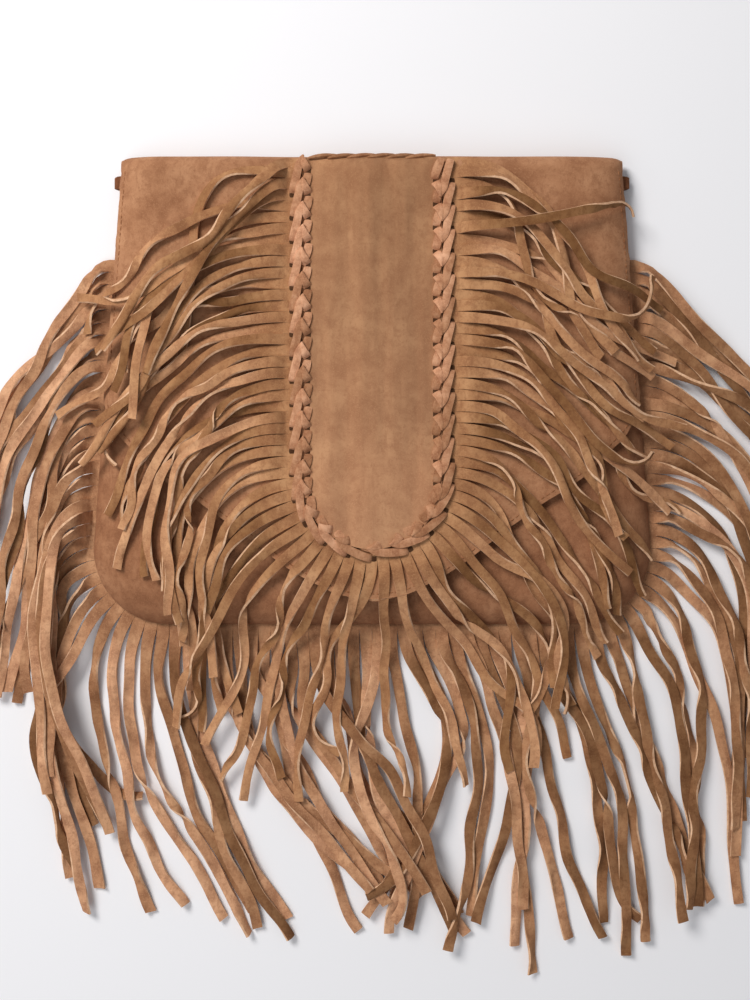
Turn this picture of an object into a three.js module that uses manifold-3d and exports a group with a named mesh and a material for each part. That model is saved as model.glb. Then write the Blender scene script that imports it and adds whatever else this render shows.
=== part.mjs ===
// A fringed suede bag lying on its back.
// Millimetres: X runs across the bag, Y up to the fold of the flap, Z away from the surface it lies on.
// The origin is on the underside of the back, in the middle of the body.

import * as THREE from 'three';
import { mergeVertices } from 'three/addons/utils/BufferGeometryUtils.js';
import Module from 'manifold-3d';

const wasm = await Module();
wasm.setup();

// ---------- driving dimensions ----------

const SUEDE = 1.3;               // thickness of every suede piece
const LINING = 0.6;              // thickness of the cloth lining
const GAP = 0.3;                 // clearance between flat pieces that touch
const EASE = 0.6;                // looser clearance between curved sheets

const FOLD_Y = 122.4;            // crest of the fold at the top
const FOLD_DEPTH = 9;            // from the crest to where the fold turns flat
const FOLD_TURN_Y = FOLD_Y - FOLD_DEPTH;
const MOUTH_Y = 98;              // top edge of the front panel
const BOTTOM_Y = -122.6;         // bottom seam
const CORNER_RADIUS = 40;        // bottom corners of the body
const CORNER_Y = BOTTOM_Y + CORNER_RADIUS;
const BODY_HALF_TOP = 132.7;     // half width of the body at the fold
const BODY_HALF_BOTTOM = 147;    // half width where the corners begin

const RIM_TOP = 4.5;             // top of the front panel at the seam
const FRONT_TOP = 15.5;          // top of the front panel where it is full
const SWELL_WIDTH = 27;          // distance from the seam over which it fills out
const FRONT_LINING_TOP = 12.6;

const FLAP_HALF_TOP = 131;
const FLAP_EDGE = [              // half width and Y of the flap's edge, from its widest point to the tip
  [140.4, -7], [128.9, -25.9], [107, -47], [94, -55], [35, -97], [19, -105], [8, -107.7],
];
const FLAP_LINING_INSET = 3;

const SNAP_Y = -88;              // magnetic snap under the tip of the flap
const SNAP_RADIUS = 8.5;
const SNAP_SPACE = 3.2;          // the tip stands this much further off the front, over the snap
const WASHER_SPACE = 0.9;        // and the flap this much further off its lining, over the washer
const POST_RADIUS = 1.5;
const POST_HOLE_RADIUS = 2;

const PANEL_TOP_Y = 118.6;       // top ends of the centre panel, the yokes and the braids
const ARC_Y = -46;               // centre of the half circle at their lower ends
const BRAID_RADIUS = 36.4;       // middle of the braid, on the line where panel and yoke meet
const BRAID_WIDTH = 10.6;
const BRAID_THICKNESS = 2.2;
const CUT_RADIUS = 48;           // where the slits of the flap fringe begin

const FLAP_STRIPS_SIDE = 29;     // strips along one straight side of the yoke
const FLAP_STRIPS_ARC = 23;      // strips round its half circle
const FLAP_STRIPS_LEFT = 40;     // strips on the left hand yoke, the rest are on the right hand one
const FLAP_STRIP_LENGTH = 150;

const BAND_INSIDE = 6;           // the outer fringe reaches this far into the seam
const BAND_OUTSIDE = 7;          // and is uncut this far outside it
const OUTER_START_Y = 70;        // top end of the outer fringe
const OUTER_STRIPS_SIDE = 23;
const OUTER_STRIPS_CORNER = 10;
const OUTER_STRIPS_BOTTOM = 32;
const OUTER_STRIPS_LEFT = 28;    // strips on the left hand and on the right hand piece
const OUTER_STRIP_LENGTH = 178;

const SLIT = 0.6;                // width of a slit
const LAYERS = 3;                // strips lie in this many layers where they crowd
const LAYER_STEP = SUEDE + GAP;

const SNAP_SIDES = 20;

// ---------- small helpers ----------

const { lerp, clamp, smoothstep, degToRad } = THREE.MathUtils;

// Straight-line interpolation in a list of [key, value] pairs with rising keys.
function lookUp(pairs, key) {
  const last = pairs.length - 1;
  if (key <= pairs[0][0]) return pairs[0][1];
  if (key >= pairs[last][0]) return pairs[last][1];
  const next = pairs.findIndex(([k]) => k > key);
  const [k0, v0] = pairs[next - 1];
  const [k1, v1] = pairs[next];
  return lerp(v0, v1, (key - k0) / (k1 - k0));
}

function geometryFrom(positions, index) {
  const geometry = new THREE.BufferGeometry();
  geometry.setAttribute('position', new THREE.Float32BufferAttribute(positions, 3));
  geometry.setIndex(index);
  return geometry;
}

// A sheet of quads given thickness: each outer point has an inner one, and each open edge gets a wall.
// The quads run anticlockwise seen from outside.
function thicken(outer, inner, quads) {
  const count = outer.length;
  const edges = new Set(quads.flatMap((q) => q.map((a, i) => `${a},${q[(i + 1) % 4]}`)));
  const index = [];
  for (const [a, b, c, d] of quads) {
    index.push(a, b, c, a, c, d);
    index.push(count + a, count + c, count + b, count + a, count + d, count + c);
    for (const [p, q] of [[a, b], [b, c], [c, d], [d, a]]) {
      if (edges.has(`${q},${p}`)) continue;
      index.push(q, p, count + p, q, count + p, count + q);
    }
  }
  return geometryFrom([...outer, ...inner].flat(), index);
}

// A sheet over rows and columns. outerAt and innerAt give the two faces at a row and a column value.
function sheet(rows, columns, outerAt, innerAt) {
  const outer = rows.flatMap((row) => columns.map((column) => outerAt(row, column)));
  const inner = rows.flatMap((row) => columns.map((column) => innerAt(row, column)));
  const quads = [];
  const width = columns.length;
  for (let i = 0; i < rows.length - 1; i += 1) {
    for (let j = 0; j < width - 1; j += 1) {
      const a = i * width + j;
      quads.push([a, a + width, a + width + 1, a + 1]);
    }
  }
  return thicken(outer, inner, quads);
}

// A level sheet whose rows are Y values and whose columns run from -1 to 1 of the half width.
function layer(rows, columns, halfWidth, topAt, thickness) {
  const place = (drop) => (y, u) => {
    const x = u * halfWidth(y);
    return [x, y, topAt(x, y) - drop];
  };
  return sheet(rows, columns, place(0), place(thickness));
}

// Values from one number to another in equal steps.
const steps = (from, to, count) => Array.from({ length: count + 1 }, (_, i) => lerp(from, to, i / count));

function toManifold(geometry) {
  const bare = geometry.clone();
  bare.deleteAttribute('normal');
  bare.deleteAttribute('uv');
  const merged = mergeVertices(bare, 1e-4);
  const mesh = new wasm.Mesh({
    numProp: 3,
    vertProperties: new Float32Array(merged.attributes.position.array),
    triVerts: new Uint32Array(merged.index.array),
  });
  return new wasm.Manifold(mesh);
}

function drilled(geometry, x, y, radius) {
  const drill = new THREE.CylinderGeometry(radius, radius, 100, SNAP_SIDES);
  drill.rotateX(Math.PI / 2);
  drill.translate(x, y, 0);
  const mesh = toManifold(geometry).subtract(toManifold(drill)).getMesh();
  return geometryFrom(Array.from(mesh.vertProperties), Array.from(mesh.triVerts));
}

// ---------- shape of the body ----------

function bodyHalfWidth(y) {
  if (y >= CORNER_Y) return lerp(BODY_HALF_TOP, BODY_HALF_BOTTOM, (FOLD_TURN_Y - y) / (FOLD_TURN_Y - CORNER_Y));
  return BODY_HALF_BOTTOM - CORNER_RADIUS + Math.sqrt(Math.max(CORNER_RADIUS ** 2 - (y - CORNER_Y) ** 2, 0));
}

// Distance inwards from the seam, which runs down the sides and along the bottom.
function seamDistance(x, y) {
  const fromSide = Math.abs(x) - (bodyHalfWidth(Math.max(y, CORNER_Y)) - CORNER_RADIUS);
  const fromBottom = CORNER_Y - y;
  const beyond = Math.hypot(Math.max(fromSide, 0), Math.max(fromBottom, 0));
  return CORNER_RADIUS - beyond - Math.min(Math.max(fromSide, fromBottom), 0);
}

const swell = (distance, width) => Math.sin((Math.PI / 2) * clamp(distance / width, 0, 1));
const frontTop = (x, y) => lerp(RIM_TOP, FRONT_TOP, swell(seamDistance(x, y), SWELL_WIDTH));

// How far the tip of the flap is lifted over the snap, from 0 to 1.
const tipLift = (y) => 1 - smoothstep(y, -70, 20);

const flapLiningTop = (x, y) => frontTop(x, y) + EASE + SNAP_SPACE * tipLift(y) + LINING;
const flapPlainTop = (x, y) => flapLiningTop(x, y) + EASE + WASHER_SPACE * tipLift(y) + SUEDE;

// Top of the flap, and of the fold past the line where it turns down.
function flapTop(x, y) {
  if (y <= FOLD_TURN_Y) return flapPlainTop(x, y);
  const half = flapPlainTop(x, FOLD_TURN_Y) / 2;
  const across = clamp((y - FOLD_TURN_Y) / FOLD_DEPTH, 0, 1);
  return half * (1 + Math.sqrt(1 - across ** 2));
}

const FLAP_WIDEST_Y = FLAP_EDGE[0][1];
const FLAP_TIP_Y = FLAP_EDGE[FLAP_EDGE.length - 1][1];
const flapEdgeByY = FLAP_EDGE.map(([half, y]) => [-y, half]);

function flapHalfWidth(y) {
  if (y <= FLAP_WIDEST_Y) return lookUp(flapEdgeByY, -y);
  return lerp(FLAP_HALF_TOP, FLAP_EDGE[0][0], (FOLD_TURN_Y - y) / (FOLD_TURN_Y - FLAP_WIDEST_Y));
}

// Columns of a body-wide sheet, closer together near the sides where the sheet bends down.
const HALF_COLUMNS = [0.42, 0.8, 0.86, 0.91, 0.955, 1];
const COLUMNS = [...HALF_COLUMNS.map((u) => -u).reverse(), 0, ...HALF_COLUMNS];

// ---------- body panels ----------

// The back, the fold and the flap are one piece of suede, and a row is a station along it.
function backAndFlap() {
  const backRows = [0, 1, 3, 6.5, 12, 19, 28, CORNER_RADIUS].map((up) => ({ part: 'back', y: BOTTOM_Y + up }));
  backRows.push(...steps(CORNER_Y, FOLD_TURN_Y, 4).slice(1).map((y) => ({ part: 'back', y })));
  const foldRows = steps(0, Math.PI, 9).slice(1, -1).map((angle) => ({ part: 'fold', angle }));
  const flapYs = [FOLD_TURN_Y, 90, 60, 30, 10, -7, -16, -26, -36, -47, -55, -69, -83, -97, -105, FLAP_TIP_Y];
  const rows = [...backRows, ...foldRows, ...flapYs.map((y) => ({ part: 'flap', y }))];
  const face = (depth) => (row, u) => {
    if (row.part === 'back') return [u * bodyHalfWidth(row.y), row.y, depth];
    if (row.part === 'flap') {
      const x = u * flapHalfWidth(row.y);
      return [x, row.y, flapTop(x, row.y) - depth];
    }
    const x = u * lerp(BODY_HALF_TOP, FLAP_HALF_TOP, row.angle / Math.PI);
    const half = flapTop(x, FOLD_TURN_Y) / 2;
    const y = FOLD_TURN_Y + (FOLD_DEPTH - depth) * Math.sin(row.angle);
    return [x, y, half - (half - depth) * Math.cos(row.angle)];
  };
  return sheet(rows, COLUMNS, face(0), face(SUEDE));
}

const bodyRows = (topY) => [
  ...steps(topY, CORNER_Y, 5), ...[27, 19.5, 13, 7.5, 3.5, 1, 0].map((up) => BOTTOM_Y + up),
];

function frontPanel() {
  const panel = layer(bodyRows(MOUTH_Y), COLUMNS, bodyHalfWidth, frontTop, SUEDE);
  return drilled(panel, 0, SNAP_Y, POST_HOLE_RADIUS);
}

// A sheet inside the seam allowance of the body.
const LINING_INSET = BAND_INSIDE + 0.5;
const liningHalfWidth = (y) => {
  const inner = CORNER_RADIUS - LINING_INSET;
  if (y >= CORNER_Y) return bodyHalfWidth(y) - LINING_INSET;
  return BODY_HALF_BOTTOM - CORNER_RADIUS + Math.sqrt(Math.max(inner ** 2 - (y - CORNER_Y) ** 2, 0));
};
const liningRows = (topY) => [
  ...steps(topY, CORNER_Y, 4), ...[27, 19, 12, 6, 2, 0].map((up) => BOTTOM_Y + LINING_INSET + up),
];

function liningBack() {
  const top = () => SUEDE + GAP + LINING;
  return layer(liningRows(104), [-1, 0, 1], liningHalfWidth, top, LINING);
}

function liningFront() {
  const rim = SUEDE + GAP + LINING + GAP + LINING;
  const top = (x, y) => lerp(rim, FRONT_LINING_TOP, swell(seamDistance(x, y) - LINING_INSET, SWELL_WIDTH));
  return layer(liningRows(MOUTH_Y - 1), COLUMNS, liningHalfWidth, top, LINING);
}

function flapLining() {
  const rows = [100, 75, 50, 30, 10, -7, -16, -26, -36, -47, -55, -69, -83, -97, FLAP_TIP_Y + FLAP_LINING_INSET];
  const halfWidth = (y) => flapHalfWidth(y - FLAP_LINING_INSET / 2) - FLAP_LINING_INSET;
  return drilled(layer(rows, COLUMNS, halfWidth, flapLiningTop, LINING), 0, SNAP_Y, POST_HOLE_RADIUS);
}

// ---------- centre panel, braids and top lace ----------

// Underside of what is sewn to the outside of the flap. It runs straight where the fold turns down.
const TRIM_TURN_Y = 115;
const TRIM_SLOPE = 0.3;

function trimBottom(x, y) {
  return flapTop(x, Math.min(y, FOLD_TURN_Y)) - TRIM_SLOPE * Math.max(y - TRIM_TURN_Y, 0) + GAP;
}

function centrePanel() {
  const radius = BRAID_RADIUS - GAP;
  const roundEnd = [0.3, 0.55, 0.75, 0.9, 0.985].map((share) => ARC_Y - radius * share);
  const rows = [PANEL_TOP_Y, TRIM_TURN_Y, 75, 40, 10, -20, ARC_Y, ...roundEnd];
  const halfWidth = (y) => (y >= ARC_Y ? radius : Math.sqrt(radius ** 2 - (y - ARC_Y) ** 2));
  return layer(rows, [-1, -0.5, 0, 0.5, 1], halfWidth, (x, y) => trimBottom(x, y) + SUEDE, SUEDE);
}

// The U that panel, yokes and braids follow, anticlockwise from the top left end to the top right end.
// Station runs from 0 to 81: 29 down the left side, 23 round the bottom and 29 up the right side.
const U_ARC_END = FLAP_STRIPS_SIDE + FLAP_STRIPS_ARC;
const U_END = U_ARC_END + FLAP_STRIPS_SIDE;

function uPoint(station, radius) {
  if (station <= FLAP_STRIPS_SIDE) {
    return { x: -radius, y: lerp(PANEL_TOP_Y, ARC_Y, station / FLAP_STRIPS_SIDE), heading: 180 };
  }
  if (station >= U_ARC_END) {
    return { x: radius, y: lerp(ARC_Y, PANEL_TOP_Y, (station - U_ARC_END) / FLAP_STRIPS_SIDE), heading: 360 };
  }
  const heading = 180 + (180 * (station - FLAP_STRIPS_SIDE)) / FLAP_STRIPS_ARC;
  const angle = degToRad(heading);
  return { x: radius * Math.cos(angle), y: ARC_Y + radius * Math.sin(angle), heading };
}

// Half of the U, from its top end to the middle of the bottom, or the mirrored half.
function braid(mirrored) {
  const turn = (FLAP_STRIPS_SIDE * (PANEL_TOP_Y - TRIM_TURN_Y)) / (PANEL_TOP_Y - ARC_Y);
  const half = [0, turn, ...steps(turn, U_END / 2 - 0.04, 18).slice(1)];
  const stations = mirrored ? half.map((station) => U_END - station).reverse() : half;
  const face = (lift) => (station, side) => {
    const { x, y } = uPoint(station, BRAID_RADIUS + (side * BRAID_WIDTH) / 2);
    return [x, y, trimBottom(x, y) + SUEDE + GAP + lift];
  };
  return sheet(stations, [1, -1], face(BRAID_THICKNESS), face(0));
}

// The thong along the crest of the fold, between the two braids.
function topEdgeLace() {
  const radius = 1.2;
  const halfLength = BRAID_RADIUS - BRAID_WIDTH / 2 - 0.5;
  const angle = degToRad(50);
  const half = flapTop(0, FOLD_TURN_Y) / 2;
  const y = FOLD_TURN_Y + (FOLD_DEPTH + radius + GAP + 0.1) * Math.sin(angle);
  const z = half + (half + radius + GAP + 0.1) * Math.cos(angle);
  const lace = new THREE.CylinderGeometry(radius, radius, 2 * halfLength, 8);
  lace.rotateZ(Math.PI / 2);
  lace.translate(0, y, z);
  return lace;
}

// ---------- fringes ----------

// A fringe: strips that share an uncut band along their roots. Each strip is a list of sections, and a
// section is its two top corners. The first section is the band's inner edge, the second the cut line.
function comb(strips) {
  const tops = [];
  const quads = [];
  let previous = null;
  for (const sections of strips) {
    const first = tops.length;
    sections.forEach(([a, b]) => tops.push(a, b));
    for (let j = 0; j < sections.length - 1; j += 1) {
      const a = first + 2 * j;
      quads.push([a, a + 2, a + 3, a + 1]);
    }
    if (previous !== null) quads.push([previous + 1, previous + 3, first + 2, first]);
    previous = first;
  }
  const bottoms = tops.map(([x, y, z]) => [x, y, z - SUEDE]);
  return thicken(tops, bottoms, quads);
}

// Middle line of the free part of a strip: it leaves the cut line square and turns to its final direction.
function stripLine(root, finalHeading, distances, bend) {
  const line = [{ x: root.x, y: root.y, heading: root.heading, s: 0 }];
  const step = 2;
  let { x, y } = root;
  let heading = root.heading;
  let travelled = 0;
  for (const distance of distances) {
    while (travelled < distance) {
      heading = lerp(root.heading, finalHeading, smoothstep(travelled, 0, bend));
      x += step * Math.cos(degToRad(heading));
      y += step * Math.sin(degToRad(heading));
      travelled += step;
    }
    line.push({ x, y, heading, s: travelled });
  }
  return line;
}

// Heights along a strip: above what lies under each point, and above it between the points too.
function drapedHeights(line, clearAt) {
  const heights = line.map((point) => clearAt(point));
  const samples = 6;
  for (let pass = 0; pass < 2; pass += 1) {
    for (let j = 0; j < line.length - 1; j += 1) {
      let short = 0;
      for (let k = 1; k < samples; k += 1) {
        const share = k / samples;
        const [p, q] = [line[j], line[j + 1]];
        const point = { x: lerp(p.x, q.x, share), y: lerp(p.y, q.y, share), s: lerp(p.s, q.s, share) };
        short = Math.max(short, clearAt(point) - lerp(heights[j], heights[j + 1], share));
      }
      if (j > 0) heights[j] += short;
      heights[j + 1] += short * (j > 0 ? 1 : 2);
    }
  }
  return heights;
}

function sectionAt({ x, y, heading }, width, z) {
  const across = degToRad(heading + 90);
  const [dx, dy] = [(Math.cos(across) * width) / 2, (Math.sin(across) * width) / 2];
  return [[x - dx, y - dy, z], [x + dx, y + dy, z]];
}

const OUTER_FRINGE_TOP = LAYERS * LAYER_STEP - GAP;

// Highest thing under a strip of the flap fringe, within half a strip's width of the point.
function highestUnder(x, y) {
  const reach = 3;
  let top = OUTER_FRINGE_TOP;
  for (const dx of [-reach, 0, reach]) {
    for (const dy of [-reach, 0, reach]) {
      const [px, py] = [x + dx, y + dy];
      if (seamDistance(px, py) > -1 && py < FOLD_Y) top = Math.max(top, frontTop(px, py));
      if (Math.abs(px) <= flapHalfWidth(py) + 1 && py > FLAP_TIP_Y - 1) top = Math.max(top, flapTop(px, py));
    }
  }
  return top;
}

const FLAP_HEADINGS = [[0, 236], [20, 243], [29, 251], [40, 270], [52, 297], [60, 306], [81, 322]];
const FLAP_SECTIONS = [14, 32, 56, 95, FLAP_STRIP_LENGTH];
const FLAP_BEND = 64;
const SPREAD_LENGTH = 14;        // strips reach their own layer this far from the cut line

// Half a slit as a share of the distance between strips.
const FLAP_SLIT_SHARE = ((SLIT / 2) * FLAP_STRIPS_SIDE) / (PANEL_TOP_Y - ARC_Y);

function flapStrip(index) {
  const [from, to] = [index + FLAP_SLIT_SHARE, index + 1 - FLAP_SLIT_SHARE];
  const bandTop = (point) => [point.x, point.y, trimBottom(point.x, point.y) + SUEDE];
  const innerEdge = [uPoint(from, BRAID_RADIUS + GAP), uPoint(to, BRAID_RADIUS + GAP)].map(bandTop);
  const cut = [uPoint(from, CUT_RADIUS), uPoint(to, CUT_RADIUS)];
  const middle = uPoint((from + to) / 2, CUT_RADIUS);
  const width = Math.hypot(cut[1].x - cut[0].x, cut[1].y - cut[0].y);
  const line = stripLine(middle, lookUp(FLAP_HEADINGS, index), FLAP_SECTIONS, FLAP_BEND);
  const lift = (index % LAYERS) * LAYER_STEP;
  const clearAt = ({ x, y, s }) => highestUnder(x, y) + GAP + SUEDE + lift * clamp(s / SPREAD_LENGTH, 0, 1);
  const heights = drapedHeights(line, clearAt);
  const free = line.slice(1).map((point, i) => sectionAt(point, width - SLIT / 2, heights[i + 1]));
  return [innerEdge, cut.map(bandTop), ...free];
}

// The seam of the body from the top of the outer fringe, anticlockwise round the bottom.
const SEAM_STATIONS = [
  OUTER_STRIPS_SIDE, OUTER_STRIPS_CORNER, OUTER_STRIPS_BOTTOM, OUTER_STRIPS_CORNER, OUTER_STRIPS_SIDE,
];
const OUTER_STRIPS = SEAM_STATIONS.reduce((sum, count) => sum + count, 0);

function seamPoint(station, outwards) {
  const mirrored = station > OUTER_STRIPS / 2;
  const at = mirrored ? OUTER_STRIPS - station : station;
  const point = { x: 0, y: 0, heading: 180 };
  const cornerX = BODY_HALF_BOTTOM - CORNER_RADIUS;
  if (at <= OUTER_STRIPS_SIDE) {
    point.y = lerp(OUTER_START_Y, CORNER_Y, at / OUTER_STRIPS_SIDE);
    point.x = -bodyHalfWidth(point.y) - outwards;
  } else if (at <= OUTER_STRIPS_SIDE + OUTER_STRIPS_CORNER) {
    point.heading = 180 + (90 * (at - OUTER_STRIPS_SIDE)) / OUTER_STRIPS_CORNER;
    const angle = degToRad(point.heading);
    point.x = -cornerX + (CORNER_RADIUS + outwards) * Math.cos(angle);
    point.y = CORNER_Y + (CORNER_RADIUS + outwards) * Math.sin(angle);
  } else {
    const along = (at - OUTER_STRIPS_SIDE - OUTER_STRIPS_CORNER) / (OUTER_STRIPS_BOTTOM / 2);
    point.heading = 270;
    point.x = lerp(-cornerX, 0, along);
    point.y = BOTTOM_Y - outwards;
  }
  if (mirrored) {
    point.x = -point.x;
    point.heading = 540 - point.heading;
  }
  return point;
}

const OUTER_HEADINGS = [[0, 242], [23, 249], [33, 266], [49, 277], [65, 282], [75, 296], [98, 313]];
const OUTER_SECTIONS = [14, 32, 60, OUTER_STRIP_LENGTH];
const OUTER_BEND = 60;
const BAND_TOP = SUEDE + GAP + SUEDE;

const OUTER_SLIT_SHARE = ((SLIT / 2) * OUTER_STRIPS_SIDE) / (OUTER_START_Y - CORNER_Y);

function outerStrip(index) {
  const [from, to] = [index + OUTER_SLIT_SHARE, index + 1 - OUTER_SLIT_SHARE];
  const bandTop = (point) => [point.x, point.y, BAND_TOP];
  const innerEdge = [seamPoint(from, -BAND_INSIDE), seamPoint(to, -BAND_INSIDE)].map(bandTop);
  const cut = [seamPoint(from, BAND_OUTSIDE), seamPoint(to, BAND_OUTSIDE)];
  const middle = seamPoint((from + to) / 2, BAND_OUTSIDE);
  const width = Math.hypot(cut[1].x - cut[0].x, cut[1].y - cut[0].y);
  const line = stripLine(middle, lookUp(OUTER_HEADINGS, index), OUTER_SECTIONS, OUTER_BEND);
  const layTop = SUEDE + (index % LAYERS) * LAYER_STEP;
  const free = line.slice(1).map((point) => sectionAt(point, width - SLIT / 2, layTop));
  return [innerEdge, cut.map(bandTop), ...free];
}

const combOf = (strip, from, to) => comb(Array.from({ length: to - from }, (_, i) => strip(from + i)));

// ---------- side tabs ----------

// A strip of suede folded double, its fold just outside the body. Its sewn ends lie on the back.
function sideTab(side) {
  const [inside, outside] = [118, 136.3];
  const [height, slot] = [2 * SUEDE + 0.4, 0.4];
  const radius = height / 2;
  const outline = new THREE.Shape();
  outline.moveTo(inside, 0);
  outline.lineTo(outside - radius, 0);
  outline.absarc(outside - radius, radius, radius, -Math.PI / 2, Math.PI / 2, false);
  outline.lineTo(inside, height);
  outline.lineTo(inside, height - SUEDE);
  outline.lineTo(outside - radius, height - SUEDE);
  outline.absarc(outside - radius, radius, slot / 2, Math.PI / 2, -Math.PI / 2, true);
  outline.lineTo(inside, SUEDE);
  const tab = new THREE.ExtrudeGeometry(outline, { depth: 8, bevelEnabled: false, curveSegments: 6 });
  tab.rotateX(Math.PI / 2);
  tab.translate(0, 114, SUEDE + GAP);
  if (side < 0) tab.rotateZ(Math.PI).translate(0, 2 * 110, 0);
  return tab;
}

// ---------- magnetic snap ----------

// A turned piece on the axis of the snap, from radius and height pairs.
function turned(profile) {
  const points = profile.map(([radius, z]) => new THREE.Vector2(radius, z));
  const piece = new THREE.LatheGeometry(points, SNAP_SIDES);
  piece.rotateX(Math.PI / 2);
  piece.translate(0, SNAP_Y, 0);
  return piece;
}

const FLAP_LINING_AT_SNAP = flapLiningTop(0, SNAP_Y);
const SOCKET_BOTTOM = FRONT_TOP + GAP;
const SOCKET_TOP = SOCKET_BOTTOM + 1.7;
const STUD_BOTTOM = SOCKET_TOP + GAP;
const STUD_TOP = FLAP_LINING_AT_SNAP - LINING - GAP;
const FLAP_WASHER_BOTTOM = FLAP_LINING_AT_SNAP + GAP;
const FRONT_WASHER_TOP = FRONT_TOP - SUEDE - GAP;
const WASHER = 0.7;
const WASHER_RADIUS = 7;

const snapSocket = () => turned([
  [0, FRONT_WASHER_TOP - WASHER - 0.1], [POST_RADIUS, FRONT_WASHER_TOP - WASHER - 0.1],
  [POST_RADIUS, SOCKET_BOTTOM], [SNAP_RADIUS, SOCKET_BOTTOM], [SNAP_RADIUS, SOCKET_TOP - 0.4],
  [SNAP_RADIUS - 0.4, SOCKET_TOP], [3.2, SOCKET_TOP], [3.2, SOCKET_TOP - 1], [0, SOCKET_TOP - 1],
]);
const snapStud = () => turned([
  [0, STUD_BOTTOM - 0.9], [2.6, STUD_BOTTOM - 0.9], [2.6, STUD_BOTTOM], [SNAP_RADIUS - 0.4, STUD_BOTTOM],
  [SNAP_RADIUS, STUD_BOTTOM + 0.4], [SNAP_RADIUS, STUD_TOP], [POST_RADIUS, STUD_TOP],
  [POST_RADIUS, FLAP_WASHER_BOTTOM + WASHER + 0.1], [0, FLAP_WASHER_BOTTOM + WASHER + 0.1],
]);
const washer = (bottom) => turned([
  [POST_HOLE_RADIUS, bottom], [WASHER_RADIUS, bottom], [WASHER_RADIUS, bottom + WASHER],
  [POST_HOLE_RADIUS, bottom + WASHER], [POST_HOLE_RADIUS, bottom],
]);

// ---------- assembly ----------

const suede = (color) => ({ color, roughness: 0.95, metalness: 0 });
const FLAP_SUEDE = suede(0xae7c58);
const PANEL_SUEDE = suede(0xac805c);
const FRONT_SUEDE = suede(0xaa7350);
const FLAP_FRINGE_SUEDE = suede(0xb4865e);
const OUTER_FRINGE_SUEDE = suede(0x96694b);
const LACE_SUEDE = suede(0xc49472);
const LINING_CLOTH = { color: 0xb89c7c, roughness: 0.9, metalness: 0 };
const BRASS = { color: 0xb08d4a, roughness: 0.35, metalness: 1 };

const bag = new THREE.Group();

// Adds a named piece. Its faces are turned outwards if its volume comes out negative.
function add(name, geometry, finish) {
  const bare = geometry.clone();
  bare.deleteAttribute('normal');
  bare.deleteAttribute('uv');
  const merged = mergeVertices(bare, 1e-4);
  const index = merged.index.array;
  const at = (i) => new THREE.Vector3().fromBufferAttribute(merged.attributes.position, index[i]);
  let volume = 0;
  for (let i = 0; i < index.length; i += 3) volume += at(i).dot(at(i + 1).cross(at(i + 2)));
  if (volume < 0) index.reverse();
  merged.computeVertexNormals();
  const mesh = new THREE.Mesh(merged, new THREE.MeshStandardMaterial(finish));
  mesh.name = name;
  bag.add(mesh);
}

add('back_and_flap', backAndFlap(), FLAP_SUEDE);
add('front_panel', frontPanel(), FRONT_SUEDE);
add('lining_back', liningBack(), LINING_CLOTH);
add('lining_front', liningFront(), LINING_CLOTH);
add('flap_lining', flapLining(), LINING_CLOTH);
add('centre_panel', centrePanel(), PANEL_SUEDE);
add('flap_fringe_left', combOf(flapStrip, 0, FLAP_STRIPS_LEFT), FLAP_FRINGE_SUEDE);
add('flap_fringe_right', combOf(flapStrip, FLAP_STRIPS_LEFT, U_END), FLAP_FRINGE_SUEDE);
add('outer_fringe_left', combOf(outerStrip, 0, OUTER_STRIPS_LEFT), OUTER_FRINGE_SUEDE);
add('outer_fringe_bottom', combOf(outerStrip, OUTER_STRIPS_LEFT, OUTER_STRIPS - OUTER_STRIPS_LEFT),
  OUTER_FRINGE_SUEDE);
add('outer_fringe_right', combOf(outerStrip, OUTER_STRIPS - OUTER_STRIPS_LEFT, OUTER_STRIPS),
  OUTER_FRINGE_SUEDE);
add('braid_left', braid(false), LACE_SUEDE);
add('braid_right', braid(true), LACE_SUEDE);
add('top_edge_lace', topEdgeLace(), LACE_SUEDE);
add('tab_left', sideTab(-1), FLAP_SUEDE);
add('tab_right', sideTab(1), FLAP_SUEDE);
add('snap_socket', snapSocket(), BRASS);
add('snap_stud', snapStud(), BRASS);
add('snap_washer_front', washer(FRONT_WASHER_TOP - WASHER), BRASS);
add('snap_washer_flap', washer(FLAP_WASHER_BOTTOM), BRASS);

export default bag;
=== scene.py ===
"""Looks of a fringed suede bag lying on its back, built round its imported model."""

import math

import bmesh
import bpy
import numpy as np
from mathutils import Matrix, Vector


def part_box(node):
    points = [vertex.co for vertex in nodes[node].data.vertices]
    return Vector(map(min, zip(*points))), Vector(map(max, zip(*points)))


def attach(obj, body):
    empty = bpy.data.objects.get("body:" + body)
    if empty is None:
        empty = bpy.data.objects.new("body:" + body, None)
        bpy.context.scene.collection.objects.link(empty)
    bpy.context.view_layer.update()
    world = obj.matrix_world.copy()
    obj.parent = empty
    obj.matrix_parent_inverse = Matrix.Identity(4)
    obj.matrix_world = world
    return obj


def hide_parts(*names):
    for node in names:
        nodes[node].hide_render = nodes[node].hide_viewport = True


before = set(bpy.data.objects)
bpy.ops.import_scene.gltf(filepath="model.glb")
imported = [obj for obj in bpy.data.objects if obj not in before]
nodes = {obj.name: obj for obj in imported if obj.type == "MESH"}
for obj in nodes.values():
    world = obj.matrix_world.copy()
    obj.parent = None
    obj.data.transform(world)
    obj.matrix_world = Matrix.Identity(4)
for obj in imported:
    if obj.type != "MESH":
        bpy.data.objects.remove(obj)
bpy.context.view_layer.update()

MM = 0.001  # sizes below are in millimetres, and meshes are in metres
rng = np.random.default_rng(11)

# ---------- sizes from the frame ----------


def box_mm(node):
    """Lowest and highest corner of one node of the frame, in millimetres."""
    low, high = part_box(node)
    return low / MM, high / MM


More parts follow.
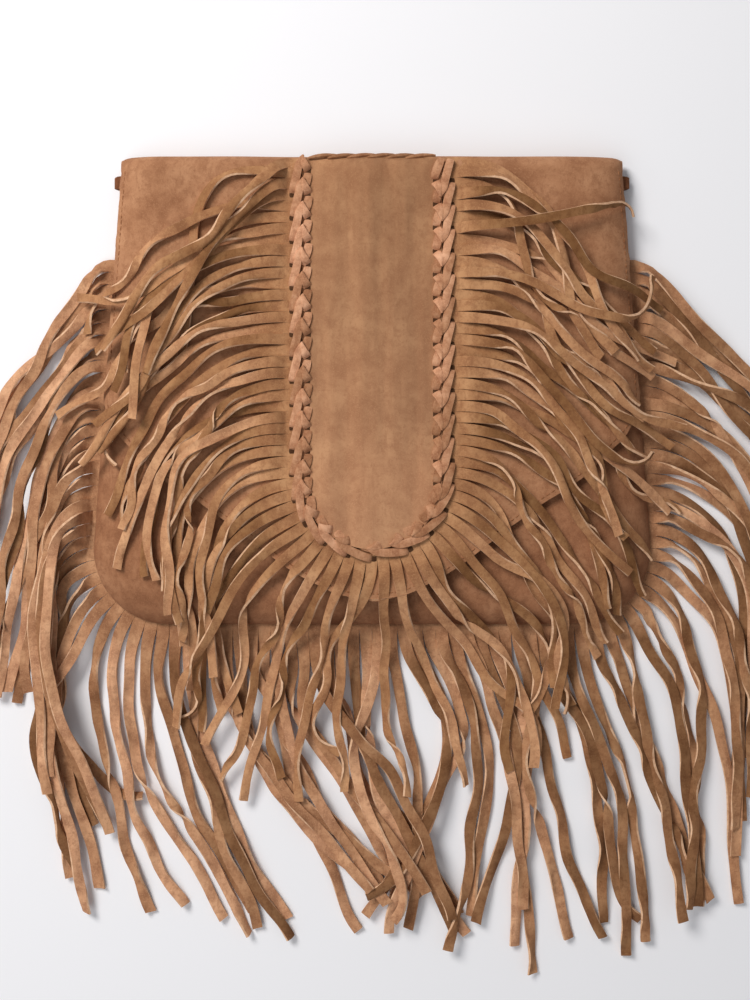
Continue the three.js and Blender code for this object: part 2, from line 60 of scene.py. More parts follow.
BODY_LOW, BODY_HIGH = box_mm("back_and_flap")
TAB_LOW, TAB_HIGH = box_mm("tab_right")
BRAID_LOW = box_mm("braid_left")[0]
FRONT_HIGH = box_mm("front_panel")[1]
PANEL_HIGH = box_mm("centre_panel")[1]
LINING_HIGH = box_mm("lining_back")[1]

SUEDE = 1.3  # thickness of the suede
BODY_HALF = BODY_HIGH.x
BOTTOM_Y = BODY_LOW.y
FOLD_CREST = BODY_HIGH.y + 0.1
FOLD_DEPTH = 9.0
FOLD_TURN_Y = FOLD_CREST - FOLD_DEPTH  # the back starts to turn over here
MOUTH_Y = FRONT_HIGH.y
CORNER_RADIUS = 40.0
CORNER_Y = BOTTOM_Y + CORNER_RADIUS
BODY_HALF_TOP = 132.7
SEAM_Z = 3.6
FRONT_TOP = FRONT_HIGH.z
SWELL_WIDTH = 25.0  # the front rises from the seam over this distance
FLAP_HALF_TOP = 131.0
FLAP_EDGE_Y = [-7, -16, -25.9, -36, -47, -55, -76, -97, -105]
FLAP_EDGE_HALF = [140.4, 136.8, 128.9, 118.5, 107, 94, 64.5, 35, 19]
FLAP_TIP_Y = -107.7
FLAP_STRAIGHT = FOLD_TURN_Y - FLAP_EDGE_Y[0]  # length of the flap's nearly straight upper sides

U_RADIUS = -BRAID_LOW.x - 5.3  # middle of the plait
U_CENTRE_Y = -46.0
CUT_RADIUS = 43.5  # the flap's strips are cut up to here
TRIM_TOP_Y = PANEL_HIGH.y + 1.6
TRIM_GAP = 0.3  # between the flap and what is laid on it
FLAP_SIDE, FLAP_ARC = 29, 23  # strips beside the U's straight sides and round its end
FLAP_COUNT = 2 * FLAP_SIDE + FLAP_ARC
FLAP_LEFT = 40  # of them on the left piece
FLAP_MIDDLE = FLAP_LEFT + 1  # the strip at the U's lowest point
LACE_PITCH = 12.0

BAND_INSIDE, BAND_OUTSIDE = 6.0, 3.0  # the uncut band reaches this far each way from the seam
OUTER_START_Y = 70.0
OUTER_SIDE, OUTER_CORNER, OUTER_BOTTOM = 23, 10, 32
OUTER_COUNT = 2 * (OUTER_SIDE + OUTER_CORNER) + OUTER_BOTTOM
OUTER_LEFT = 28

# ---------- small maths ----------


def unit(v):
    """Vectors drawn out or in to a length of one."""
    return v / np.maximum(np.linalg.norm(v, axis=-1, keepdims=True), 1e-9)


def smooth01(x):
    """Goes smoothly from 0 to 1 while x does, and stays level beyond."""
    x = np.clip(x, 0, 1)
    return x * x * (3 - 2 * x)


def soften(values, sigma):
    """A Gaussian blur along a list of values, with the ends held."""
    reach = int(3 * sigma) + 1
    weights = np.exp(-0.5 * (np.arange(-reach, reach + 1) / sigma) ** 2)
    padded = np.concatenate([np.full(reach, values[0]), values, np.full(reach, values[-1])])
    return np.convolve(padded, weights / weights.sum(), "valid")


def ripple(s, wavelengths, strength):
    """A smooth random line: waves of the given lengths with random phases and heights."""
    total = np.zeros_like(s, float)
    for wavelength in wavelengths:
        total += rng.normal(0, 1) * np.sin(2 * np.pi * s / wavelength + rng.uniform(0, 2 * np.pi))
    return strength * total / math.sqrt(len(wavelengths))


def curve_through(xs, ys):
    """A smooth function through points with rising xs."""
    xs, ys = np.array(xs, float), np.array(ys, float)
    slopes = np.gradient(ys, xs)

    def at(x):
        x = np.clip(np.asarray(x, float), xs[0], xs[-1])
        i = np.clip(np.searchsorted(xs, x) - 1, 0, len(xs) - 2)
        h = xs[i + 1] - xs[i]
        t = (x - xs[i]) / h
        a = (1 + 2 * t) * (1 - t) ** 2 * ys[i] + t * (1 - t) ** 2 * h * slopes[i]
        return a + t * t * (3 - 2 * t) * ys[i + 1] + t * t * (t - 1) * h * slopes[i + 1]

    return at


def field_of_waves(seed, shortest, longest, count=9):
    """A smooth random field over the plan, about -1 to 1."""
    waves = np.random.default_rng(seed)
    length = waves.uniform(shortest, longest, count)
    angle = waves.uniform(0, np.pi, count)
    phase = waves.uniform(0, 2 * np.pi, count)

    def at(x, y):
        x, y = np.asarray(x, float)[..., None], np.asarray(y, float)[..., None]
        along = (x * np.cos(angle) + y * np.sin(angle)) / length
        return np.sin(2 * np.pi * along + phase).sum(-1) / math.sqrt(count)

    return at


# ---------- shape of the body ----------

front_lumps = field_of_waves(3, 45, 110)
flap_lumps = field_of_waves(5, 50, 120)
edge_waver = field_of_waves(8, 18, 60)


def body_half(y):
    """Half the body's width at a Y."""
    y = np.asarray(y, float)
    side = BODY_HALF_TOP + (BODY_HALF - BODY_HALF_TOP) * (FOLD_TURN_Y - y) / (FOLD_TURN_Y - CORNER_Y)
    corner = np.sqrt(np.maximum(CORNER_RADIUS**2 - (np.minimum(y, CORNER_Y) - CORNER_Y) ** 2, 0))
    return np.where(y >= CORNER_Y, side, BODY_HALF - CORNER_RADIUS + corner)


def seam_distance(x, y):
    """Distance inwards from the seam down the sides and along the bottom."""
    side = np.abs(x) - (body_half(np.maximum(y, CORNER_Y)) - CORNER_RADIUS)
    low = CORNER_Y - np.asarray(y, float)
    beyond = np.hypot(np.maximum(side, 0), np.maximum(low, 0))
    return CORNER_RADIUS - beyond - np.minimum(np.maximum(side, low), 0)


def puff(distance, width):
    """Share of the full height that a stuffed sheet has at a distance inside its seam."""
    t = np.clip(distance / width, 0, 1)
    return (1 - (1 - t) ** 2.2) ** 0.62


def front_top(x, y):
    """Top of the front panel."""
    d = seam_distance(x, y)
    lumps = 0.7 * front_lumps(x, y) * smooth01(d / 20)
    return SEAM_Z + (FRONT_TOP - SEAM_Z) * puff(d, SWELL_WIDTH) + lumps


LIFT_FULL_Y, LIFT_FADE = -70, 90  # the snap lifts the flap fully below here, and less and less above
LIFT_HALF, LIFT_SIDE_FADE, LIFT_SIDE_DROP = 24, 55, 0.85


def tip_lift(x, y):
    """How far the snap holds the flap up: all the way at the tip's middle, least up the flap and at
    its sides."""
    down = 1 - smooth01((np.asarray(y, float) - LIFT_FULL_Y) / LIFT_FADE)
    return down * (1 - LIFT_SIDE_DROP * smooth01((np.abs(x) - LIFT_HALF) / LIFT_SIDE_FADE))


flap_edge = curve_through([-y for y in FLAP_EDGE_Y], FLAP_EDGE_HALF)


def flap_half(y):
    """Half the flap's width at a Y."""
    y = np.asarray(y, float)
    upper = FLAP_HALF_TOP + (FLAP_EDGE_HALF[0] - FLAP_HALF_TOP) * (FOLD_TURN_Y - y) / FLAP_STRAIGHT
    lower = flap_edge(-np.maximum(y, FLAP_EDGE_Y[-1]))
    share = np.clip((y - FLAP_TIP_Y) / (FLAP_EDGE_Y[-1] - FLAP_TIP_Y), 0, 1)
    tip = FLAP_EDGE_HALF[-1] * np.sqrt(share)
    return np.where(y > FLAP_EDGE_Y[0], upper, np.where(y > FLAP_EDGE_Y[-1], lower, tip))


LINING_GAP, LINING, UNDER_FLAP = 0.6, 0.6, 0.6  # from the front up to the flap
SNAP_SPACE, WASHER_SPACE = 3.2, 0.9  # room for the snap under the lining, and for its washer above
FLAP_WAVE, EDGE_WAVE, EDGE_WIDTH = 0.35, 0.5, 5  # the flap waves more in a narrow zone at its edge


def flap_lining_top(x, y):
    return front_top(x, y) + LINING_GAP + LINING + SNAP_SPACE * tip_lift(x, y)


def flap_level(x, y):
    """Top of the flap, as if it went straight on past the fold."""
    inside = flap_half(y) - np.abs(x)
    edge = np.exp(-np.maximum(inside, 0) / EDGE_WIDTH)
    wave = FLAP_WAVE * flap_lumps(x, y) + EDGE_WAVE * edge * edge_waver(x, y)
    return flap_lining_top(x, y) + UNDER_FLAP + WASHER_SPACE * tip_lift(x, y) + SUEDE + wave


def fold_depth(x):
    """How far the fold reaches up, a little less at its ends."""
    return FOLD_DEPTH - 0.8 * np.clip((np.abs(x) - 126) / 5, 0, 1) ** 2


def flap_top(x, y):
    """Top of the flap, and of the fold past the line where it turns down."""
    y = np.asarray(y, float)
    plain = flap_level(x, np.minimum(y, FOLD_TURN_Y))
    across = np.clip((y - FOLD_TURN_Y) / fold_depth(x), 0, 1)
    return np.where(y <= FOLD_TURN_Y, plain, plain / 2 * (1 + np.sqrt(1 - across**2)))


def on_flap(x, y):
    return (np.abs(x) <= flap_half(y)) & (y >= FLAP_TIP_Y) & (y <= FOLD_CREST)


# ---------- meshes ----------


def placed(name, data):
    """An object at the origin that holds a mesh, a light or a camera."""
    item = bpy.data.objects.new(name, data)
    bpy.context.scene.collection.objects.link(item)
    return item


def mesh_object(name, points, faces):
    """A smooth mesh object from points in millimetres."""
    mesh = bpy.data.meshes.new(name)
    corners = [tuple(int(i) for i in face) for face in faces]
    mesh.from_pydata((np.asarray(points, float) * MM).tolist(), [], corners)
    mesh.validate()
    mesh.shade_smooth()
    return placed(name, mesh)


def evaluated(piece):
    """The piece with its modifiers turned into plain mesh."""
    bpy.context.view_layer.update()
    solid = piece.evaluated_get(bpy.context.evaluated_depsgraph_get())
    mesh = bpy.data.meshes.new_from_object(solid)
    old = piece.data
    piece.modifiers.clear()
    piece.data = mesh
    mesh.name = piece.name
    if old.users == 0:
        bpy.data.meshes.remove(old)
    return piece


def thickened(piece, thickness, face, rim=None):
    """Gives a surface its thickness on the inner side of its faces, and its rim a material of its own."""
    piece.data.materials.append(face)
    solid = piece.modifiers.new("thickness", "SOLIDIFY")
    solid.thickness = thickness * MM
    solid.offset = -1
    solid.use_even_offset = True
    solid.use_quality_normals = rim is None
    if rim is not None:
        piece.data.materials.append(rim)
        solid.material_offset_rim = 1
    evaluated(piece)
    piece.data.shade_smooth()
    piece.data.set_sharp_from_angle(angle=math.radians(50))
    return piece


def grid_faces(rows, columns, start=0):
    """Four-cornered faces between points in rows and columns, numbered from start."""
    index = start + np.arange(rows * columns).reshape(rows, columns)
    corners = (index[:-1, :-1], index[1:, :-1], index[1:, 1:], index[:-1, 1:])
    return np.stack(corners, -1).reshape(-1, 4)


def grid_piece(name, points):
    """A surface from points in rows and columns, rows down the bag and columns across it."""
    rows, columns = points.shape[:2]
    return mesh_object(name, points.reshape(-1, 3), grid_faces(rows, columns))


def row_at(x, y, z):
    """One row of points across the bag, all at the same Y."""
    return np.stack([x, np.full_like(x, y), z], -1)


def spaced(start, end, step):
    """Values from start to end, both included, as near to step apart as comes out even."""
    return np.linspace(start, end, max(int(round(abs(end - start) / step)), 1) + 1)


def columns_with_close_sides(step):
    """Values from -1 to 1, closer together near both ends."""
    close = 1 - np.array([0, 0.003, 0.008, 0.016, 0.028, 0.044, 0.064])
    inner = spaced(0, close[-1] - 0.02, step)
    half = np.concatenate([inner, close[::-1]])
    return np.concatenate([-half[:0:-1], half])


def rows_to_round_end(top, end, step):
    """Y values down to a round end, closer together near it."""
    close = end + np.array([18, 13, 9, 6, 3.8, 2.2, 1.1, 0.45, 0.12, 0])
    return np.concatenate([spaced(top, close[0] + step * 0.6, step), close])


# ---------- the U of the centre panel ----------


def u_point(station, radius):
    """A point on the U and the direction that faces out of it. Stations run down, round and up."""
    if station <= FLAP_SIDE:
        y = TRIM_TOP_Y + (U_CENTRE_Y - TRIM_TOP_Y) * station / FLAP_SIDE
        return np.array([-radius, y]), 180.0
    if station >= FLAP_SIDE + FLAP_ARC:
        share = (station - FLAP_SIDE - FLAP_ARC) / FLAP_SIDE
        return np.array([radius, U_CENTRE_Y + (TRIM_TOP_Y - U_CENTRE_Y) * share]), 360.0
    heading = 180 + 180 * (station - FLAP_SIDE) / FLAP_ARC
    angle = math.radians(heading)
    return np.array([radius * math.cos(angle), U_CENTRE_Y + radius * math.sin(angle)]), heading


def seam_point(station, outwards):
    """A point beside the body's seam and the direction that faces out of it. Stations run from the
    top left end of the outer fringe round to the top right."""
    mirrored = station > OUTER_COUNT / 2
    at = OUTER_COUNT - station if mirrored else station
    corner_x = BODY_HALF - CORNER_RADIUS
    heading = 180.0
    if at <= OUTER_SIDE:
        y = OUTER_START_Y + (CORNER_Y - OUTER_START_Y) * at / OUTER_SIDE
        point = np.array([-float(body_half(y)) - outwards, y])
    elif at <= OUTER_SIDE + OUTER_CORNER:
        heading = 180 + 90 * (at - OUTER_SIDE) / OUTER_CORNER
        angle = math.radians(heading)
        reach = CORNER_RADIUS + outwards
        point = np.array([-corner_x + reach * math.cos(angle), CORNER_Y + reach * math.sin(angle)])
    else:
        heading = 270.0
        share = (at - OUTER_SIDE - OUTER_CORNER) / (OUTER_BOTTOM / 2)
        point = np.array([-corner_x * (1 - share), BOTTOM_Y - outwards])
    if mirrored:
        point[0] = -point[0]
        heading = 540 - heading
    return point, heading


# ---------- pile of strips ----------


class Pile:
    """Heights of all that has been laid down so far, on a fine grid over the plan."""

    CELL = 0.8

    def __init__(self, low, high):
        self.low = np.array(low, float)
        size = ((np.array(high) - self.low) / self.CELL).astype(int) + 2
        self.grid = np.zeros(size)
        ix, iy = np.meshgrid(np.arange(size[0]), np.arange(size[1]), indexing="ij")
        self.x = self.low[0] + ix * self.CELL
        self.y = self.low[1] + iy * self.CELL

    def raise_where(self, mask, heights):
        self.grid[mask] = np.maximum(self.grid[mask], heights[mask])

    def cell(self, x, y):
        ix = np.clip(np.round((x - self.low[0]) / self.CELL).astype(int), 0, self.grid.shape[0] - 1)
        iy = np.clip(np.round((y - self.low[1]) / self.CELL).astype(int), 0, self.grid.shape[1] - 1)
        return ix, iy

    def top(self, x, y):
        return self.grid[self.cell(x, y)]

    def lay(self, x, y, z):
        np.maximum.at(self.grid, self.cell(x, y), z)


STEP = 1.0  # spacing of the points along a strip while it is laid
ACROSS = np.linspace(-1, 1, 9)  # where the pile is felt for across a strip
SAG = 0.012  # a strip falls away from what holds it up by this much times the distance squared
SPAN = 45  # no support is felt farther than this along the strip
PRESSED_IN = 0.15  # strips may press this far into what is under them
GAP = 0.1  # and otherwise lie this far above it
FAR_BELOW = -1e3


def hang(support):
    """The line of a strip over its supports: it falls away from each in a curve."""
    count = len(support)
    offset = np.arange(-SPAN, SPAN + 1)
    drop = SAG * (offset * STEP) ** 2
    padded = np.pad(support, SPAN, constant_values=FAR_BELOW)
    windows = np.lib.stride_tricks.sliding_window_view(padded, len(offset))[:count]
    line = (windows - drop).max(1)
    for _ in range(4):
        line = np.maximum(soften(line, 3.0), support - PRESSED_IN)
    return line


def lay_strip(pile, plan, width, roll, lift, root_height):
    """Lays one strip on the pile. Returns its base face's middle line and its half-width vectors."""
    direction = unit(np.gradient(plan, axis=0))
    left = np.stack([-direction[:, 1], direction[:, 0]], -1)
    half = (width / 2)[:, None]
    across = np.concatenate([left * half * np.cos(roll)[:, None], half * np.sin(roll)[:, None]], 1)
    normal = np.concatenate([-left * np.sin(roll)[:, None], np.cos(roll)[:, None]], 1)
    spots = plan[:, None, :] + across[:, None, :2] * ACROSS[None, :, None]
    shifted = spots + SUEDE * normal[:, None, :2]
    rise_across = across[:, 2:3] * ACROSS[None, :]
    other_face = SUEDE * normal[:, 2:3]
    below = pile.top(spots[..., 0], spots[..., 1]) - rise_across
    below_other = pile.top(shifted[..., 0], shifted[..., 1]) - rise_across - other_face
    support = np.maximum(below, below_other).max(1) + GAP + lift
    support[0] = root_height
    line = hang(support)
    start = 1 - smooth01(np.arange(len(line)) * STEP / 8)
    line = line * (1 - start) + root_height * start
    base = line[:, None] + rise_across
    pile.lay(spots[..., 0], spots[..., 1], base)
    pile.lay(shifted[..., 0], shifted[..., 1], base + other_face)
    return np.concatenate([plan, line[:, None]], 1), across


GATHER_FROM = 8  # strips start to lean towards their bundle this far from the root
CURL_CHANCE = 0.09  # some strips curl at their ends
CURL_FROM, CURL_LENGTH = 32, 34


def strip_plan(root, turns, length, wander, gather, blur):
    """Plan line of a strip. turns gives (distance, heading) pairs, wander how much it strays from
    them in degrees, and gather how it joins its bundle."""
    s = np.arange(0, length + STEP, STEP)
    distances, headings = zip(*turns)
    heading = soften(np.interp(s, distances, headings), blur)
    loose = smooth01((s - 16) / 50)
    heading = heading + loose * ripple(s, (160, 95, 58, 40), wander)
    offset, reach = gather
    run = reach - GATHER_FROM
    pull = np.where((s > GATHER_FROM) & (s < reach), np.sin(np.pi * (s - GATHER_FROM) / run) ** 2, 0)
    heading = heading - np.degrees(2 * offset / run) * pull
    if rng.random() < CURL_CHANCE:
        curl = rng.choice((-1, 1)) * rng.uniform(30, 90)
        heading = heading + curl * smooth01((s - length + CURL_FROM) / CURL_LENGTH) ** 1.5
    angle = np.radians(heading)
    steps = np.stack([np.cos(angle), np.sin(angle)], -1) * STEP
    plan = root + np.concatenate([np.zeros((1, 2)), np.cumsum(steps[:-1], 0)])
    bend = soften(np.gradient(angle, STEP), 4)
    return s, plan, bend


# Distances from the root that the columns of the two tables of headings are for.
LIE_AT = (12, 30, 55, 85, 130)
OUTER_LIE_AT = (6, 22, 50, 85, 130)


def lie_between(table, station):
    """Turns of a strip, from a table of headings by station."""
    stations = sorted(table)
    rows = np.array([table[k] for k in stations], float)
    return np.array([np.interp(station, stations, column) for column in rows.T])


# Headings of the strips in degrees, by station.
FLAP_LIE = {
    0: (185, 222, 228, 224, 218),
    4: (184, 210, 226, 232, 226),
    8: (184, 202, 222, 236, 234),
    12: (186, 200, 216, 232, 238),
    18: (188, 204, 222, 236, 244),
    24: (188, 206, 234, 248, 262),
    29: (194, 216, 244, 262, 278),
    34: (218, 236, 252, 268, 278),
    37: (240, 248, 252, 266, 278),
    40: (256, 250, 252, 268, 280),
    42: (266, 258, 256, 270, 282),
    43: (290, 306, 314, 292, 272),
    46: (300, 318, 320, 288, 268),
    50: (322, 314, 308, 284, 272),
    54: (344, 320, 302, 292, 286),
    58: (350, 328, 308, 306, 300),
    62: (354, 330, 310, 310, 310),
    66: (355, 334, 312, 316, 322),
    70: (356, 334, 310, 320, 326),
    74: (357, 334, 308, 318, 326),
    78: (356, 322, 301, 303, 308),
    81: (350, 316, 304, 298, 300),
}

OUTER_LIE = {
    0: (240, 230, 230, 246, 260),
    3: (230, 232, 234, 250, 262),
    6: (220, 235, 238, 250, 262),
    10: (210, 240, 249, 257, 265),
    16: (204, 246, 259, 265, 270),
    23: (208, 252, 270, 280, 286),
    28: (234, 256, 267, 281, 290),
    31: (252, 264, 275, 291, 300),
    33: (263, 270, 282, 297, 302),
    36: (268, 275, 287, 299, 300),
    40: (271, 278, 290, 301, 298),
    44: (274, 284, 299, 306, 302),
    48: (270, 270, 286, 303, 306),
    50: (266, 260, 272, 292, 300),
    51: (282, 304, 290, 262, 252),
    54: (288, 308, 288, 262, 254),
    58: (280, 294, 278, 259, 256),
    60: (272, 280, 284, 284, 284),
    66: (276, 286, 290, 286, 282),
    70: (302, 294, 286, 280, 278),
    75: (336, 310, 288, 274, 268),
    80: (350, 328, 298, 280, 270),
    85: (352, 334, 310, 292, 284),
    92: (338, 322, 316, 308, 304),
    98: (312, 306, 316, 314, 308),
}

# Strips that lie in their own way, as (distance, heading) pairs. They rise this high near the root
# and are laid this much later than their neighbours.
FLAP_SINGLES = {
    0: {"turns": [(0, 200), (8, 231), (30, 222), (50, 238), (65, 206), (80, 206), (95, 236),
                  (138, 236)], "rise": 3.0, "late": 60},
    1: {"turns": [(0, 172), (12, 180), (25, 188), (38, 225), (52, 248), (70, 268), (130, 262)],
        "rise": 0.0, "late": -60},
    2: {"turns": [(0, 186), (10, 222), (35, 224), (58, 240), (100, 245), (125, 250)],
        "rise": 2.5, "late": 50},
    3: {"turns": [(0, 184), (14, 214), (45, 232), (80, 222), (104, 212), (130, 224)],
        "rise": 1.5, "late": 40},
    6: {"turns": [(0, 184), (25, 198), (55, 217), (80, 214), (94, 184), (106, 166), (119, 176)],
        "rise": 0.5, "late": 30},
    64: {"turns": [(0, 356), (25, 346), (35, 312), (85, 308), (105, 330), (118, 364), (128, 432)],
         "rise": 0.5, "late": 34},
    66: {"turns": [(0, 356), (25, 350), (45, 322), (85, 322), (105, 326), (120, 348), (136, 350)],
         "rise": 0.5, "late": 44},
    69: {"turns": [(0, 358), (25, 350), (40, 318), (55, 305), (75, 320), (95, 330), (108, 345),
                   (118, 400)], "rise": 0.5, "late": 38},
    70: {"turns": [(0, 358), (28, 352), (44, 328), (58, 330), (73, 343), (88, 356), (98, 392), (109, 431),
                   (122, 455)], "rise": 1.0, "late": 50},
    74: {"turns": [(0, 361), (27, 364), (50, 371), (76, 378), (87, 381), (92, 320), (98, 262)],
         "rise": 1.5, "late": 80},
}

# First station of each bundle that strips gather in.
FLAP_BUNDLES = [0, 5, 9, 13, 16, 20, 24, 27, 31, 35, 38, 41, 45, 48, 52, 55, 59, 62, 65, 69, 73, 76,
                79, 81]
OUTER_BUNDLES = [0, 4, 7, 12, 15, 20, 24, 28, 32, 36, 39, 44, 50, 54, 57, 62, 66, 69, 73, 77, 80, 85,
                 89, 93, 98]


def bundle_pulls(bundles, pitch):
    """How far each strip is drawn sideways towards its bundle, by what distance from its root, and
    how the bundle as a whole swings to one side and back."""
    pulls = {}
    for first, after in zip(bundles[:-1], bundles[1:]):
        middle = (first + after - 1) / 2 + rng.normal(0, 0.5)
        strength, reach = rng.uniform(0.35, 1.05), rng.uniform(55, 100)
        near, far = rng.normal(0, 1, 2)
        swing = np.array([0, 3 * near, 7 * near, 5 * near + 7 * far, 12 * far])
        for index in range(first, after):
            offset = (index - middle) * pitch * (strength + rng.normal(0, 0.22))
            pulls[index] = (offset, reach + rng.normal(0, 8), swing + rng.normal(0, 2))
    return pulls


FREE_SOON, FREE_LATER = (1, 9), (8, 20)  # where a strip starts to roll, and over what distance
ROLL_LIMIT = 1.35  # strips stand no steeper on their edges than this, in radians
TURN_OVER_CHANCE = 0.38  # that a strip's other face comes up somewhere
ARCH_HEIGHT = 2.6  # some strips arch up between root and end
ROOT_RISE_LENGTH = 60
# Shares of a strip's width that are lost in the slit, lost farther out, and come and go along it.
KERF, NARROWING, UNEVEN_CUT = 0.05, 0.15, 0.06


class Fringe:
    """The strips of one fringe piece, as lines for the ribbon tree."""

    def __init__(self, point_at, radii, base):
        self.point_at = point_at
        self.radii = radii
        self.base = base
        self.lines = {}

    def band_sections(self, index):
        """The uncut part at a strip's root: middle points and half-width vectors from its two sides."""
        sections = []
        for radius in self.radii:
            a, b = self.point_at(index, radius)[0], self.point_at(index + 1, radius)[0]
            a3, b3 = (np.array([*p, float(self.base(p[0], p[1]))]) for p in (a, b))
            sections.append(((a3 + b3) / 2, (b3 - a3) / 2))
        return sections

    def lay(self, pile, index, turns, length, wander, gather, roll_gain, rise, blur, free):
        """Lays one strip. It rolls towards its edge by roll_gain times how much it bends."""
        root, heading = self.point_at(index + 0.5, self.radii[-1])
        band = self.band_sections(index)
        full = 2 * np.linalg.norm(band[-1][1])
        s, plan, bend = strip_plan(root, [(0, heading), *turns], length, wander, gather, blur)
        narrow = 1 - KERF * smooth01(s / 3) - NARROWING * smooth01((s - 4) / 22)
        width = full * narrow * (1 + UNEVEN_CUT * smooth01((s - 20) / 30) * ripple(s, (70, 31), 1))
        loose = smooth01((s - free[0]) / free[1])
        twist = roll_gain * bend + np.radians(ripple(s, (120, 64, 38), 36))
        roll = loose * np.clip(twist, -ROLL_LIMIT, ROLL_LIMIT)
        if rng.random() < TURN_OVER_CHANCE:
            turn = rng.choice((-1, 1)) * np.pi
            roll = roll + turn * smooth01((s - rng.uniform(22, 95)) / rng.uniform(16, 34))
        height = rng.uniform(0, 1) ** 3 * ARCH_HEIGHT
        along = np.clip((s - rng.uniform(15, 70)) / 60, 0, 1)
        arch = height * np.sin(np.pi * along) ** 2
        peak = rise * np.sin(np.pi * np.clip(s / ROOT_RISE_LENGTH, 0, 1)) ** 2
        line, across = lay_strip(pile, plan, width, roll, loose * 0.2 + arch + peak, band[-1][0][2])
        self.lines[index] = (band, s, line, across, roll)

    def cut_size(self, indices):
        """Width, length and area of the straight piece of suede that strips are cut in."""
        depth = abs(self.radii[-1] - self.radii[0])
        width = length = area = 0.0
        for index in indices:
            band, s, _, across, _ = self.lines[index]
            root = 2 * np.linalg.norm(band[-1][1])
            width += root
            length = max(length, s[-1] + depth)
            area += root * depth + 2 * np.linalg.norm(across, axis=1).sum() * STEP
        return width, length, float(area)


# ---------- lines that become ribbons ----------


def ribbon_lines(name, lines):
    """A mesh of separate lines with half-width, thickness, cupping and tone at each point."""
    points, edges, across, thick, cup, tone = [], [], [], [], [], []
    for line in lines:
        start = len(points)
        count = len(line["points"])
        points.extend(line["points"])
        across.extend(line["across"])
        thick.extend(line["thick"])
        cup.extend(np.broadcast_to(line.get("cup", 0.0), count))
        tone.extend(np.broadcast_to(line["tone"], count))
        edges.extend((start + i, start + i + 1) for i in range(count - 1))
    mesh = bpy.data.meshes.new(name)
    mesh.from_pydata((np.array(points) * MM).tolist(), edges, [])
    for key, values in (("across", across), ("thick", thick)):
        layer = mesh.attributes.new(key, "FLOAT_VECTOR", "POINT")
        layer.data.foreach_set("vector", (np.array(values, float) * MM).ravel())
    for key, values, unit_size in (("cup", cup, MM), ("tone", tone, 1)):
        layer = mesh.attributes.new(key, "FLOAT", "POINT")
        layer.data.foreach_set("value", np.array(values, float) * unit_size)
    return placed(name, mesh)


FLAP_RIGHT_SHADE, OUTER_RIGHT_SHADE = 0.6, 2.0  # painted shade: how much darker the strips are painted towards the right of the bag, where less light falls on them
OTHER_FACE_TONE = 1.0  # the flesh side of the suede is paler
STRIP_TONE, STRIP_TONE_WAVE = 2.1, 0.8  # how far strips differ in tone, and vary along their length
LOOSE_TONE = 0.4  # painted shade: loose strips are painted this much darker than their roots, for the shade among the tangled strips
TONE_LIMITS = (-4.4, 2.6)
STRIP_CUP, STRIP_CUP_WAVE = 0.45, 0.35  # how far strips bow up across their width


def fringe_lines(fringe, indices, right_shade):
    """Lines for the ribbon tree, with fewer points than the strips were laid with."""
    lines = []
    for index in indices:
        band, s, line, across, roll = fringe.lines[index]
        keep = np.unique(np.concatenate([[0, 2, 5], np.arange(8, len(s) - 1, 3), [len(s) - 1]]))
        direction = unit(np.gradient(line, axis=0))[keep]
        flat_left = unit(np.cross([0, 0, 1], direction))
        up = np.cross(direction, flat_left)
        half = np.linalg.norm(across[keep], axis=1, keepdims=True)
        angle = roll[keep][:, None]
        side = half * (np.cos(angle) * flat_left + np.sin(angle) * up)
        normal = np.cross(direction, unit(side))
        side[0] = band[-1][1]
        side[-1] += direction[-1] * rng.normal(0, 0.25) * half[-1]
        points = np.concatenate([[m for m, _ in band[:-1]], line[keep]])
        sides = np.concatenate([[a for _, a in band[:-1]], side])
        normals = np.concatenate([[[0, 0, 1]] * (len(band) - 1), normal])
        loose = np.concatenate([np.zeros(len(band) - 1), smooth01((s[keep] - 4) / 20)])
        at = np.arange(len(loose)) * 3.0
        cup = loose * (rng.normal(0, STRIP_CUP) + ripple(at, (80, 37), STRIP_CUP_WAVE))
        tone = loose * (STRIP_TONE * rng.normal(0, 1) + ripple(at, (90, 41), STRIP_TONE_WAVE))
        turned_over = np.concatenate([np.zeros(len(band) - 1), 1 - np.cos(roll[keep])])
        # Painted shade: strips are painted darker along their loose lengths and towards the right of the
        # bag, where shade falls on them.
        painted_shade = LOOSE_TONE + right_shade * smooth01((points[:, 0] + 30) / 170)
        tone = np.clip(tone + OTHER_FACE_TONE * turned_over - painted_shade * loose, *TONE_LIMITS)
        lines.append({"points": points, "across": sides, "thick": SUEDE * normals,
                      "cup": cup, "tone": tone})
    return lines


# ---------- node helpers ----------


class Nodes:
    """Places nodes in a tree and links them by name."""

    def __init__(self, tree):
        self.tree = tree

    def add(self, kind, settings=(), **inputs):
        node = self.tree.nodes.new(kind)
        for key, value in dict(settings).items():
            setattr(node, key, value)
        for key, value in inputs.items():
            self.put(node.inputs[key.replace("_", " ")], value)
        return node

    def put(self, socket, value):
        if isinstance(value, bpy.types.NodeSocket):
            self.tree.links.new(value, socket)
        elif value is not None:
            socket.default_value = value


def new_socket(tree, name, kind, direction, default=None):
    socket = tree.interface.new_socket(name, in_out=direction, socket_type=kind)
    if default is not None:
        socket.default_value = default
    return socket


# ---------- geometry trees ----------


